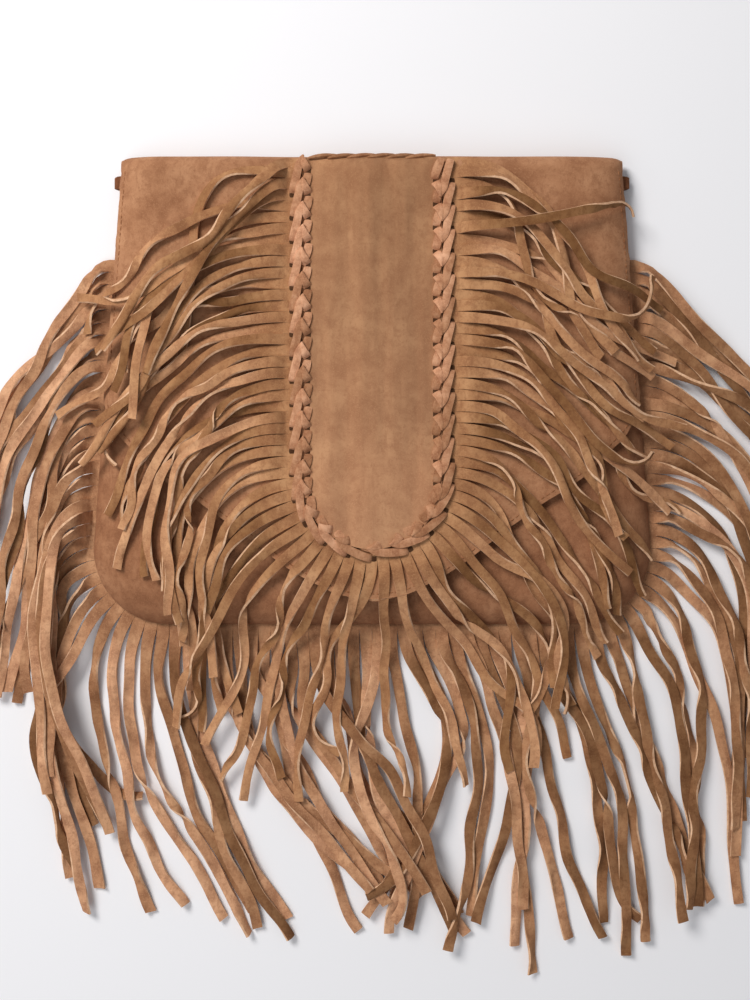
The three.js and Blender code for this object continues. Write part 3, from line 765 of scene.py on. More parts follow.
def ribbon_tree():
    """Lines with half-width and thickness vectors become flat ribbons, joined where they touch."""
    tree = bpy.data.node_groups.new("ribbons", "GeometryNodeTree")
    new_socket(tree, "Lines", "NodeSocketGeometry", "INPUT")
    new_socket(tree, "Join Distance", "NodeSocketFloat", "INPUT", 0.00003)
    new_socket(tree, "Face Material", "NodeSocketMaterial", "INPUT")
    new_socket(tree, "Edge Material", "NodeSocketMaterial", "INPUT")
    new_socket(tree, "Ribbons", "NodeSocketGeometry", "OUTPUT")
    n = Nodes(tree)
    group_in, group_out = n.add("NodeGroupInput"), n.add("NodeGroupOutput")

    def attribute(name, kind):
        node = n.add("GeometryNodeInputNamedAttribute", {"data_type": kind})
        node.inputs["Name"].default_value = name
        return node.outputs["Attribute"]

    def scaled(vector, factor):
        node = n.add("ShaderNodeVectorMath", {"operation": "SCALE"})
        n.put(node.inputs[0], vector)
        n.put(node.inputs["Scale"], factor)
        return node.outputs[0]

    across = attribute("across", "FLOAT_VECTOR")
    thick = attribute("thick", "FLOAT_VECTOR")
    columns = 4
    body = n.add("GeometryNodeSetPosition", Geometry=group_in.outputs["Lines"],
                 Offset=scaled(across, -1))
    geometry = body.outputs[0]
    selection = None
    for column in range(columns):
        extrude = n.add("GeometryNodeExtrudeMesh", {"mode": "EDGES"}, Mesh=geometry, Offset_Scale=1.0)
        n.put(extrude.inputs["Offset"], scaled(across, 2 / columns))
        if selection is not None:
            n.put(extrude.inputs["Selection"], selection)
        selection = extrude.outputs["Top"]
        share = (column + 1) / columns
        store = n.add("GeometryNodeStoreNamedAttribute", {"data_type": "FLOAT", "domain": "POINT"},
                      Geometry=extrude.outputs["Mesh"], Selection=selection,
                      Value=4 * share * (1 - share))
        store.inputs["Name"].default_value = "crown"
        geometry = store.outputs[0]
    crown = n.add("ShaderNodeMath", {"operation": "MULTIPLY"})
    n.put(crown.inputs[0], attribute("crown", "FLOAT"))
    n.put(crown.inputs[1], attribute("cup", "FLOAT"))
    up = n.add("ShaderNodeVectorMath", {"operation": "NORMALIZE"})
    n.put(up.inputs[0], thick)
    cupped = n.add("GeometryNodeSetPosition", Geometry=geometry,
                   Offset=scaled(up.outputs[0], crown.outputs[0]))
    joined = n.add("GeometryNodeMergeByDistance", Geometry=cupped.outputs[0],
                   Distance=group_in.outputs["Join Distance"])
    sheet = joined.outputs[0]
    solid = n.add("GeometryNodeExtrudeMesh", {"mode": "FACES"}, Mesh=sheet, Offset=thick,
                  Offset_Scale=1.0, Individual=False)
    under = n.add("GeometryNodeFlipFaces", Mesh=sheet)
    faces = n.add("GeometryNodeSetMaterial", Geometry=solid.outputs["Mesh"],
                  Material=group_in.outputs["Face Material"])
    edges = n.add("GeometryNodeSetMaterial", Geometry=faces.outputs[0], Selection=solid.outputs["Side"],
                  Material=group_in.outputs["Edge Material"])
    below = n.add("GeometryNodeSetMaterial", Geometry=under.outputs[0],
                  Material=group_in.outputs["Face Material"])
    both = n.add("GeometryNodeJoinGeometry")
    tree.links.new(below.outputs[0], both.inputs[0])
    tree.links.new(edges.outputs[0], both.inputs[0])
    closed = n.add("GeometryNodeMergeByDistance", Geometry=both.outputs[0], Distance=0.00001)
    smooth = n.add("GeometryNodeSetShadeSmooth", Geometry=closed.outputs[0])
    real = n.add("GeometryNodeRealizeInstances", Geometry=smooth.outputs[0])
    n.put(group_out.inputs[0], real.outputs[0])
    return tree


def stitch_tree():
    """A line becomes a row of stitches, each a short rounded length of thread."""
    tree = bpy.data.node_groups.new("stitches", "GeometryNodeTree")
    new_socket(tree, "Line", "NodeSocketGeometry", "INPUT")
    new_socket(tree, "Pitch", "NodeSocketFloat", "INPUT", 0.0032)
    new_socket(tree, "Length", "NodeSocketFloat", "INPUT", 0.0024)
    new_socket(tree, "Width", "NodeSocketFloat", "INPUT", 0.0006)
    new_socket(tree, "Thread Material", "NodeSocketMaterial", "INPUT")
    new_socket(tree, "Stitches", "NodeSocketGeometry", "OUTPUT")
    n = Nodes(tree)
    group_in, group_out = n.add("NodeGroupInput"), n.add("NodeGroupOutput")
    curve = n.add("GeometryNodeMeshToCurve", Mesh=group_in.outputs["Line"])
    places = n.add("GeometryNodeCurveToPoints", {"mode": "LENGTH"}, Curve=curve.outputs[0],
                   Length=group_in.outputs["Pitch"])
    ball = n.add("GeometryNodeMeshUVSphere", Segments=6, Rings=5, Radius=0.5)
    size = n.add("ShaderNodeCombineXYZ", X=group_in.outputs["Width"], Y=group_in.outputs["Width"],
                 Z=group_in.outputs["Length"])
    stitch = n.add("GeometryNodeTransform", Geometry=ball.outputs["Mesh"], Scale=size.outputs[0])
    row = n.add("GeometryNodeInstanceOnPoints", Points=places.outputs["Points"],
                Instance=stitch.outputs[0], Rotation=places.outputs["Rotation"])
    smooth = n.add("GeometryNodeSetShadeSmooth", Geometry=row.outputs[0])
    real = n.add("GeometryNodeRealizeInstances", Geometry=smooth.outputs[0])
    threaded = n.add("GeometryNodeSetMaterial", Geometry=real.outputs[0],
                     Material=group_in.outputs["Thread Material"])
    n.put(group_out.inputs[0], threaded.outputs[0])
    return tree


def set_input(modifier, name, value):
    """Sets a modifier's input by its socket's identifier."""
    for item in modifier.node_group.interface.items_tree:
        if item.item_type == "SOCKET" and item.in_out == "INPUT" and item.name == name:
            modifier[item.identifier] = value


def with_tree(piece, tree, sharp_degrees=None, **inputs):
    """Runs a geometry tree on a piece and keeps the result as plain mesh."""
    modifier = piece.modifiers.new(tree.name, "NODES")
    modifier.node_group = tree
    for name, value in inputs.items():
        set_input(modifier, name.replace("_", " "), value)
    evaluated(piece)
    if sharp_degrees is not None:
        piece.data.set_sharp_from_angle(angle=math.radians(sharp_degrees))
    return piece


def as_ribbons(piece, sharp_degrees, face, edge, join=0.0):
    """Turns lines into ribbons of suede. Ribbons nearer than join are joined."""
    return with_tree(piece, RIBBONS, sharp_degrees, Join_Distance=join * MM, Face_Material=face,
                     Edge_Material=edge)


# ---------- materials ----------


def linear(red, green, blue):
    """A colour given as 0 to 255 screen values, in linear light."""
    def channel(value):
        value /= 255
        return value / 12.92 if value <= 0.04045 else ((value + 0.055) / 1.055) ** 2.4
    return (channel(red), channel(green), channel(blue), 1.0)


def suede_group():
    """Napped suede: brushed patches, fine fibres and a soft uneven surface."""
    tree = bpy.data.node_groups.new("suede_nap", "ShaderNodeTree")
    for name, kind, default in (
        ("Place", "NodeSocketVector", None),
        ("Colour", "NodeSocketColor", (0.4, 0.22, 0.12, 1)),
        ("Brushed Colour", "NodeSocketColor", (0.5, 0.3, 0.18, 1)),
        ("Dark Colour", "NodeSocketColor", (0.3, 0.15, 0.08, 1)),
        ("Patch Scale", "NodeSocketFloat", 45.0),
        ("Nap Depth", "NodeSocketFloat", 0.35),
        ("Tone", "NodeSocketFloat", 0.0),
        ("Long Streaks", "NodeSocketFloat", 0.0),
    ):
        new_socket(tree, name, kind, "INPUT", default)
    for name, kind in (("Colour", "NodeSocketColor"), ("Roughness", "NodeSocketFloat"),
                       ("Normal", "NodeSocketVector")):
        new_socket(tree, name, kind, "OUTPUT")
    n = Nodes(tree)
    group_in, group_out = n.add("NodeGroupInput"), n.add("NodeGroupOutput")
    place = group_in.outputs["Place"]

    def noise(scale, detail, rough, distortion=0.0, vector=place):
        node = n.add("ShaderNodeTexNoise", Vector=vector, Detail=detail, Roughness=rough,
                     Distortion=distortion)
        n.put(node.inputs["Scale"], scale)
        return node.outputs["Fac"]

    def ramp(value, low, high):
        node = n.add("ShaderNodeMapRange", {"interpolation_type": "SMOOTHSTEP"}, Value=value)
        node.inputs["From Min"].default_value = low
        node.inputs["From Max"].default_value = high
        return node.outputs["Result"]

    def mixed(factor, a, b):
        node = n.add("ShaderNodeMix", {"data_type": "RGBA"})
        n.put(node.inputs[0], factor)
        n.put(node.inputs[6], a)
        n.put(node.inputs[7], b)
        return node.outputs[2]

    def maths(operation, a, b=None):
        node = n.add("ShaderNodeMath", {"operation": operation})
        n.put(node.inputs[0], a)
        if b is not None:
            n.put(node.inputs[1], b)
        return node.outputs[0]

    patches = noise(group_in.outputs["Patch Scale"], 5, 0.62, 0.25)
    stretch = n.add("ShaderNodeMapping", Vector=place)
    stretch.inputs["Scale"].default_value = (1.0, 0.35, 1.0)
    stretch.inputs["Rotation"].default_value = (0, 0, 0.3)
    streaks = noise(260.0, 3, 0.65, 0.6, stretch.outputs[0])
    fibres = noise(1500.0, 3, 0.7)
    grains = noise(520.0, 4, 0.7)
    mottle = noise(190.0, 5, 0.7, 0.2)
    brushed, dark = group_in.outputs["Brushed Colour"], group_in.outputs["Dark Colour"]
    colour = mixed(ramp(patches, 0.44, 0.68), group_in.outputs["Colour"], brushed)
    for mask, low, high, strength, other in (
        (patches, 0.5, 0.3, 0.75, dark),
        (mottle, 0.52, 0.34, 0.5, dark),
        (streaks, 0.52, 0.3, 0.45, dark),
        (grains, 0.5, 0.3, 0.5, dark),
        (fibres, 0.5, 0.7, 0.6, brushed),
    ):
        colour = mixed(maths("MULTIPLY", ramp(mask, low, high), strength), colour, other)
    toned = n.add("ShaderNodeHueSaturation", Color=colour)
    lengthwise = n.add("ShaderNodeMapping", Vector=place)
    lengthwise.inputs["Scale"].default_value = (1.0, 0.09, 1.0)
    drawn_out = maths("SUBTRACT", noise(75.0, 3, 0.5, 0.0, lengthwise.outputs[0]), 0.5)
    streak_light = maths("MULTIPLY", drawn_out, group_in.outputs["Long Streaks"])
    tone_light = maths("ADD", maths("MULTIPLY", group_in.outputs["Tone"], 0.12), 1.0)
    brightness = maths("ADD", tone_light, streak_light)
    n.put(toned.inputs["Value"], brightness)
    redder = maths("ADD", maths("MULTIPLY", group_in.outputs["Tone"], -0.018), 1.0)
    n.put(toned.inputs["Saturation"], redder)
    nap = maths("ADD", grains, maths("MULTIPLY", streaks, 0.5))
    height = maths("ADD", maths("MULTIPLY", fibres, 0.4), nap)
    bump = n.add("ShaderNodeBump", Height=height, Strength=group_in.outputs["Nap Depth"],
                 Distance=0.0004)
    n.put(group_out.inputs["Colour"], toned.outputs[0])
    n.put(group_out.inputs["Roughness"], maths("ADD", maths("MULTIPLY", fibres, 0.15), 0.82))
    n.put(group_out.inputs["Normal"], bump.outputs[0])
    return tree


def new_material(name):
    """A material with its nodes, its shader and the place on the object."""
    material = bpy.data.materials.new(name)
    material.use_nodes = True
    n = Nodes(material.node_tree)
    shader = material.node_tree.nodes["Principled BSDF"]
    place = n.add("ShaderNodeTexCoord").outputs["Object"]
    return material, n, shader, place


SHEEN = 0.1


def suede_material(name, colour, brushed, dark, patch_scale, nap, tone_from=None, long_streaks=0.0,
                   fade=None):
    """Suede in three colours. tone_from names the attribute that lightens it, and fade gives its tone
    from one Y in metres to another."""
    material, n, shader, place = new_material(name)
    nap_node = n.add("ShaderNodeGroup", {"node_tree": SUEDE_NAP}, Place=place, Patch_Scale=patch_scale,
                     Nap_Depth=nap, Long_Streaks=long_streaks)
    nap_node.inputs["Colour"].default_value = linear(*colour)
    nap_node.inputs["Brushed Colour"].default_value = linear(*brushed)
    nap_node.inputs["Dark Colour"].default_value = linear(*dark)
    if tone_from:
        tone = n.add("ShaderNodeAttribute", {"attribute_name": tone_from})
        n.put(nap_node.inputs["Tone"], tone.outputs["Fac"])
    if fade:
        down = n.add("ShaderNodeSeparateXYZ", Vector=place)
        faded = n.add("ShaderNodeMapRange", Value=down.outputs["Y"])
        for socket, value in zip(("From Min", "From Max", "To Min", "To Max"), fade):
            faded.inputs[socket].default_value = value
        n.put(nap_node.inputs["Tone"], faded.outputs["Result"])
    n.put(shader.inputs["Base Color"], nap_node.outputs["Colour"])
    n.put(shader.inputs["Roughness"], nap_node.outputs["Roughness"])
    n.put(shader.inputs["Normal"], nap_node.outputs["Normal"])
    shader.inputs["Specular IOR Level"].default_value = 0.2
    shader.inputs["Sheen Weight"].default_value = SHEEN
    shader.inputs["Sheen Roughness"].default_value = 0.5
    shader.inputs["Sheen Tint"].default_value = linear(235, 195, 160)
    return material


def cloth_material(name, colour):
    """Plain woven lining."""
    material, n, shader, place = new_material(name)
    weave = n.add("ShaderNodeTexWave", {"wave_type": "BANDS", "bands_direction": "X"}, Vector=place,
                  Scale=900.0, Distortion=0.5)
    weft = n.add("ShaderNodeTexWave", {"wave_type": "BANDS", "bands_direction": "Y"}, Vector=place,
                 Scale=900.0, Distortion=0.5)
    both = n.add("ShaderNodeMath", {"operation": "MULTIPLY"})
    n.put(both.inputs[0], weave.outputs["Fac"])
    n.put(both.inputs[1], weft.outputs["Fac"])
    bump = n.add("ShaderNodeBump", Height=both.outputs[0], Strength=0.4, Distance=0.0002)
    mix = n.add("ShaderNodeMix", {"data_type": "RGBA"})
    n.put(mix.inputs[0], both.outputs[0])
    mix.inputs[6].default_value = linear(*[c * 0.8 for c in colour])
    mix.inputs[7].default_value = linear(*colour)
    n.put(shader.inputs["Base Color"], mix.outputs[2])
    n.put(shader.inputs["Normal"], bump.outputs[0])
    shader.inputs["Roughness"].default_value = 0.9
    return material


def brass_material(name):
    """Brass with a fine uneven gloss."""
    material, n, shader, place = new_material(name)
    brushing = n.add("ShaderNodeTexNoise", Vector=place, Scale=900.0, Detail=4.0)
    rough = n.add("ShaderNodeMapRange", Value=brushing.outputs["Fac"])
    rough.inputs["To Min"].default_value = 0.25
    rough.inputs["To Max"].default_value = 0.45
    n.put(shader.inputs["Roughness"], rough.outputs["Result"])
    shader.inputs["Base Color"].default_value = linear(196, 160, 92)
    shader.inputs["Metallic"].default_value = 1.0
    return material


SUEDE_NAP = suede_group()
RIBBONS = ribbon_tree()
STITCHES = stitch_tree()

FLAP_SUEDE = suede_material("flap_suede", (168, 118, 84), (184, 134, 98), (140, 92, 62), 60, 0.4)
FRONT_SUEDE = suede_material("front_suede", (156, 106, 74), (172, 122, 88), (128, 82, 55), 60, 0.4)
PANEL_SUEDE = suede_material("panel_suede", (171, 123, 88), (185, 137, 99), (155, 107, 75), 50, 0.4,
                             long_streaks=0.95, fade=(-0.075, 0.115, 0.95, -0.7))
FLAP_FRINGE_SUEDE = suede_material("flap_fringe_suede", (172, 122, 83), (191, 142, 100), (137, 90, 59),
                                   70, 0.35, tone_from="tone")
OUTER_FRINGE_SUEDE = suede_material("outer_fringe_suede", (178, 128, 92), (200, 151, 112),
                                    (137, 91, 62), 70, 0.35, tone_from="tone")
CUT_EDGE = suede_material("cut_edge_suede", (216, 172, 136), (230, 190, 156), (186, 140, 106), 300, 0.5)
LACE_SUEDE = suede_material("lace_suede", (188, 134, 98), (208, 156, 120), (152, 100, 70), 160, 0.4,
                            tone_from="tone")
RAW_EDGE = suede_material("raw_edge_suede", (182, 134, 98), (198, 150, 114), (150, 104, 72), 300, 0.5)
TAB_SUEDE = suede_material("tab_suede", (118, 70, 44), (138, 88, 58), (90, 52, 32), 200, 0.4)
THREAD = suede_material("sewing_thread", (150, 98, 62), (176, 122, 84), (116, 72, 44), 900, 0.2)
LINING_CLOTH = cloth_material("lining_cloth", (186, 158, 126))
BRASS = brass_material("snap_brass")


# ---------- floor, light and camera ----------


FLOOR_HALF, FLOOR_Z = 3000, -0.2


def make_stage():
    corners = [(x * FLOOR_HALF, y * FLOOR_HALF, FLOOR_Z) for x, y in ((-1, -1), (1, -1), (1, 1), (-1, 1))]
    floor = mesh_object("floor", corners, [(0, 1, 2, 3)])
    material, _, shader, _ = new_material("pale_floor")
    shader.inputs["Base Color"].default_value = linear(246, 245, 247)
    shader.inputs["Roughness"].default_value = 0.6
    shader.inputs["Specular IOR Level"].default_value = 0.2
    floor.data.materials.append(material)

    def area_light(name, place, target, size, power, colour):
        light = bpy.data.lights.new(name, "AREA")
        light.shape = "DISK"
        light.size = size
        light.energy = power
        light.color = colour
        lamp = placed(name, light)
        lamp.location = place
        lamp.rotation_euler = (Vector(target) - Vector(place)).to_track_quat("-Z", "Y").to_euler()

    # Places and sizes in metres, powers in watts.
    area_light("window_light", place=(-0.8, 0.75, 1.1), target=(0, -0.05, 0), size=0.7, power=20.5,
               colour=(1.0, 0.985, 0.965))
    area_light("room_light", place=(-0.65, -0.9, 1.3), target=(-0.15, -0.2, 0), size=1.4, power=6.2,
               colour=(0.95, 0.97, 1.0))
    world = bpy.data.worlds.new("soft_room")
    world.use_nodes = True
    background = world.node_tree.nodes["Background"]
    background.inputs["Color"].default_value = (0.94, 0.96, 1.0, 1)
    background.inputs["Strength"].default_value = 0.27
    bpy.context.scene.world = world
    bpy.context.scene.view_settings.view_transform = "Standard"

    camera = bpy.data.cameras.new("camera")
    camera.sensor_fit = "VERTICAL"
    camera.sensor_height = 36
    camera.lens = 42
    view = placed("camera", camera)
    view.location = (0.0016, -0.057, 0.62)  # straight above the bag, looking down
    bpy.context.scene.camera = view


make_stage()

# ---------- body panels ----------

def finished(piece, slot, *nodes):
    """The piece moves with the bag and stands for its nodes."""
    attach(piece, "root")
    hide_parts(*nodes)
    return piece


BACK_LIFT, BACK_LIFT_REACH = 1.3, 0.9  # the back turns up a little at the seam


def make_back_and_flap():
    """The back, the fold over the top and the flap, all one sheet."""
    u = columns_with_close_sides(0.035)
    back_y = BOTTOM_Y + np.array([0, 0.12, 0.5, 1.2, 2.4, 4, 6.5, 10, 15, 21, 28, 36])
    back_y = np.concatenate([back_y, spaced(CORNER_Y + 4, FOLD_TURN_Y, 7)])
    rows = []
    for y in back_y:
        x = u * body_half(y)
        lift = BACK_LIFT * np.exp(-np.maximum(seam_distance(x, y), 0) / BACK_LIFT_REACH)
        rows.append(row_at(x, y, lift))
    for angle in np.linspace(0, np.pi, 17)[1:-1]:
        x = u * (BODY_HALF_TOP + (FLAP_HALF_TOP - BODY_HALF_TOP) * angle / np.pi)
        half = flap_top(x, FOLD_TURN_Y) / 2
        y = FOLD_TURN_Y + fold_depth(x) * np.sin(angle)
        rows.append(np.stack([x, y, half * (1 - np.cos(angle))], -1))
    for y in rows_to_round_end(FOLD_TURN_Y, FLAP_TIP_Y, 3.4):
        x = u * flap_half(y)
        waver = 0.35 * edge_waver(x * 2.3, y * 2.3) * np.abs(u) ** 8
        rows.append(row_at(x + waver, y, flap_top(x, y)))
    piece = grid_piece("suede_back_and_flap", np.array(rows))
    thickened(piece, SUEDE, FLAP_SUEDE, RAW_EDGE)
    return finished(piece, "suede_tan", "back_and_flap")


STITCH_INSET, STITCH_PITCH, STITCH_LENGTH, STITCH_WIDTH = 2.4, 3.2, 2.4, 0.62


def make_flap_stitches():
    """A row of stitches just inside the flap's edge, down one side, round the tip and up the other."""
    y = rows_to_round_end(FOLD_TURN_Y, FLAP_TIP_Y, 1.5)
    right = np.column_stack([flap_half(y), y])
    along = unit(np.gradient(right, axis=0))
    inner = right + STITCH_INSET * np.column_stack([along[:, 1], -along[:, 0]])
    inner = inner[inner[:, 0] > 0]
    line = np.concatenate([inner * (-1, 1), inner[::-1]])
    height = flap_top(line[:, 0], line[:, 1]) + 0.02
    mesh = bpy.data.meshes.new("flap_stitches")
    points = np.column_stack([line, height]) * MM
    mesh.from_pydata(points.tolist(), [(i, i + 1) for i in range(len(points) - 1)], [])
    piece = placed("flap_stitches", mesh)
    with_tree(piece, STITCHES, None, Pitch=STITCH_PITCH * MM, Length=STITCH_LENGTH * MM,
              Width=STITCH_WIDTH * MM, Thread_Material=THREAD)
    return finished(piece, "suede_tan", "back_and_flap")


def body_rings(top_y, insets, heights, interior):
    """A body-shaped sheet from rings beside the seam, then a plain grid inside the last ring.
    insets and heights give each ring's distance from the seam and its Z, and interior gives Z inside."""
    side_y = spaced(top_y, CORNER_Y, 5)
    arc = np.radians(np.linspace(180, 270, 15))[1:]
    bottom_x = spaced(-(BODY_HALF - CORNER_RADIUS), BODY_HALF - CORNER_RADIUS, 5)[1:-1]
    corner_x = BODY_HALF - CORNER_RADIUS
    points, faces = [], []
    for inset, height in zip(insets, heights):
        left = [(-float(body_half(y)) + inset, y) for y in side_y]
        radius = CORNER_RADIUS - inset
        left += [(-corner_x + radius * math.cos(a), CORNER_Y + radius * math.sin(a)) for a in arc]
        bottom = [(x, BOTTOM_Y + inset) for x in bottom_x]
        ring = np.array(left + bottom + [(-x, y) for x, y in reversed(left)])
        z = height(ring[:, 0], ring[:, 1]) if callable(height) else np.full(len(ring), height)
        points.append(np.column_stack([ring, z]))
    ring_count = len(points[0])
    for r in range(len(insets) - 1):
        a = r * ring_count
        for i in range(ring_count - 1):
            faces.append((a + i, a + i + 1, a + ring_count + i + 1, a + ring_count + i))
    side_x = points[-1][len(side_y) - 1, 0]
    points = np.concatenate(points)
    grid_x = np.concatenate([[side_x], bottom_x, [-side_x]])
    grid = []
    for y in side_y:
        half = float(body_half(y)) - insets[-1]
        x = grid_x / abs(grid_x[0]) * half
        grid.append(row_at(x, y, interior(x, np.full_like(x, y))))
    grid = np.array(grid)
    faces += grid_faces(grid.shape[0], grid.shape[1], len(points)).tolist()
    return np.concatenate([points, grid.reshape(-1, 3)]), faces


WELD_DISTANCE, VANISHED = 0.01, 0.002


def welded(piece):
    """Merges points that lie together and drops faces that vanish."""
    mesh = bmesh.new()
    mesh.from_mesh(piece.data)
    bmesh.ops.remove_doubles(mesh, verts=mesh.verts, dist=WELD_DISTANCE * MM)
    bmesh.ops.dissolve_degenerate(mesh, edges=mesh.edges, dist=VANISHED * MM)
    bmesh.ops.recalc_face_normals(mesh, faces=mesh.faces)
    top = max(mesh.faces, key=lambda face: face.calc_center_median().z)
    if top.normal.z < 0:
        bmesh.ops.reverse_faces(mesh, faces=mesh.faces)
    mesh.to_mesh(piece.data)
    mesh.free()
    return piece


pucker_phase = field_of_waves(21, 30, 80)
PUCKER_HEIGHT, PUCKER_PITCH = 0.32, 8.5
PUCKER_INSET, PUCKER_WIDTH = 3, 5  # the gathers are deepest this far inside the seam


def seam_pucker(x, y):
    """Small gathers square to the seam."""
    d = np.maximum(seam_distance(x, y), 0)
    along = np.where(np.abs(y - BOTTOM_Y) < 45, x, y)
    wave = np.sin(2 * np.pi * along / PUCKER_PITCH + 2.2 * pucker_phase(x, y))
    return PUCKER_HEIGHT * wave * np.exp(-((d - PUCKER_INSET) / PUCKER_WIDTH) ** 2)


FRONT_THICK = 1.15  # the front's suede is drawn a little thinner by its stuffing
TURNED_IN = [(4.5, 3.0), (1.5, 2.95), (0.35, 3.1), (0.0, SEAM_Z)]  # (inset, Z) of its hem in the seam


def make_front_panel():
    def top(x, y):
        return front_top(x, y) + seam_pucker(x, y)

    inside = [0.06, 0.3, 0.8, 1.6, 2.8, 4.4, 6.5, 9, 12, 15.5, 19.5, 24, 29, 34, CORNER_RADIUS]
    insets = [inset for inset, _ in TURNED_IN] + inside
    heights = [z for _, z in TURNED_IN] + [top] * len(inside)
    points, faces = body_rings(MOUTH_Y, insets, heights, top)
    piece = welded(mesh_object("suede_front_panel", points, faces))
    thickened(piece, FRONT_THICK, FRONT_SUEDE, RAW_EDGE)
    return finished(piece, "suede_tan", "front_panel")


CLOTH_THICK = 0.55
BACK_LINING_Z, FRONT_LINING_Z = 2.2, 3.1  # top of the back lining, and where the front one starts
FRONT_LINING_DEPTH = 2.9  # the front lining stays this far below the top of the front
FRONT_LINING_MARGIN = 1  # and ends this far below the mouth
FLAP_LINING_MARGIN, FLAP_LINING_TOP_Y = 3, 100


def make_linings():
    """The cloth inside the back and the front, and the one under the flap."""
    inset = BAND_INSIDE + LINING_GAP
    plain = [inset + k for k in (0, 3, 8, 14, 20)] + [CORNER_RADIUS]
    points, faces = body_rings(LINING_HIGH.y, plain, [BACK_LINING_Z] * len(plain),
                               lambda x, y: np.full_like(x, BACK_LINING_Z))
    back = welded(mesh_object("lining_back_cloth", points, faces))

    def front_z(x, y):
        rise = FRONT_TOP - FRONT_LINING_DEPTH - FRONT_LINING_Z
        hollows = 0.4 * np.minimum(front_lumps(x, y), 0)
        return FRONT_LINING_Z + rise * puff(seam_distance(x, y) - inset, 27) + hollows

    rings = [inset + k for k in (0.0, 0.4, 1.2, 2.6, 5, 8, 12, 17, 23)] + [CORNER_RADIUS]
    points, faces = body_rings(MOUTH_Y - FRONT_LINING_MARGIN, rings, [front_z] * len(rings), front_z)
    front = welded(mesh_object("lining_front_cloth", points, faces))
    u = columns_with_close_sides(0.05)
    rows = []
    for y in rows_to_round_end(FLAP_LINING_TOP_Y, FLAP_TIP_Y + FLAP_LINING_MARGIN, 5):
        x = u * np.maximum(flap_half(y - 1.5) - FLAP_LINING_MARGIN, 0.4)
        rows.append(row_at(x, y, flap_lining_top(x, y)))
    flap = grid_piece("lining_flap_cloth", np.array(rows))
    for piece, node in ((back, "lining_back"), (front, "lining_front"), (flap, "flap_lining")):
        thickened(piece, CLOTH_THICK, LINING_CLOTH)
        finished(piece, "lining_cloth", node)
    return back, front, flap


CREASE_RISE = 2.0


def make_centre_panel():
    """The plain panel in the middle, with a soft crease down it from being folded."""
    radius = U_RADIUS - TRIM_GAP
    rows = []
    u = spaced(-1, 1, 0.06)
    for y in rows_to_round_end(TRIM_TOP_Y, U_CENTRE_Y - radius, 2.6):
        inside = max(radius**2 - min(y - U_CENTRE_Y, 0) ** 2, 0.05)
        x = u * math.sqrt(inside)
        crease = CREASE_RISE * smooth01((TRIM_TOP_Y - y) / 12) * (1 - np.abs(x) / radius)
        rows.append(row_at(x, y, flap_top(x, y) + TRIM_GAP + SUEDE + crease))
    piece = grid_piece("suede_centre_panel", np.array(rows))
    thickened(piece, SUEDE, PANEL_SUEDE, RAW_EDGE)
    return finished(piece, "suede_light", "centre_panel")


# ---------- fringes ----------


SETTLE_FROM, SETTLE_SHARE = 4.0, 0.45


def settled(piece, pile):
    """Presses a piled-up fringe down under its own weight: what lies higher than SETTLE_FROM over the
    bag or the floor keeps SETTLE_SHARE of its height, so that what lay on top stays on top."""
    count = len(piece.data.vertices)
    points = np.empty(count * 3)
    piece.data.vertices.foreach_get("co", points)
    points = points.reshape(-1, 3) / MM
    x = np.clip((points[:, 0] - pile.low[0]) / pile.CELL, 0, pile.ground.shape[0] - 1.001)
    y = np.clip((points[:, 1] - pile.low[1]) / pile.CELL, 0, pile.ground.shape[1] - 1.001)
    i, j = x.astype(int), y.astype(int)
    u, v = x - i, y - j
    near = pile.ground[i, j] * (1 - u) * (1 - v) + pile.ground[i + 1, j] * u * (1 - v)
    far = pile.ground[i, j + 1] * (1 - u) * v + pile.ground[i + 1, j + 1] * u * v
    over = points[:, 2] - near - far - SETTLE_FROM
    points[:, 2] = np.maximum(points[:, 2] - (1 - SETTLE_SHARE) * np.maximum(over, 0), 0.02)
    piece.data.vertices.foreach_set("co", (points * MM).ravel())
    piece.data.update()


GROUND_BLUR = 9


def start_pile():
    """The pile before any strip is laid: the body, the flap and the trim on it."""
    pile = Pile((-290, -345), (330, 140))
    x, y = pile.x, pile.y
    in_body = (seam_distance(x, y) > 0) & (y < MOUTH_Y)
    pile.raise_where(in_body, front_top(x, y))
    pile.raise_where(on_flap(x, y), flap_top(x, y))
    trim = on_flap(x, y) & (np.hypot(x, np.minimum(y - U_CENTRE_Y, 0)) < CUT_RADIUS) & (y < TRIM_TOP_Y)
    pile.raise_where(trim, flap_top(x, y) + TRIM_GAP + SUEDE)
    ground = pile.grid
    for axis in (0, 1):
        ground = np.apply_along_axis(soften, axis, ground, GROUND_BLUR / pile.CELL)
    pile.ground = ground
    return pile


OUTER_EVEN_FROM = 68  # from this station on the strips bunch less
OUTER_CALM_FROM = 56  # and from this one on they wave less
OUTER_BAND_Z = 1.6
# Mean length of a strip, width between strips, how softly they turn, and how much they roll in bends.
OUTER_LENGTH, OUTER_PITCH, OUTER_BLUR, OUTER_ROLL = 165, 6.6, 4.5, 22


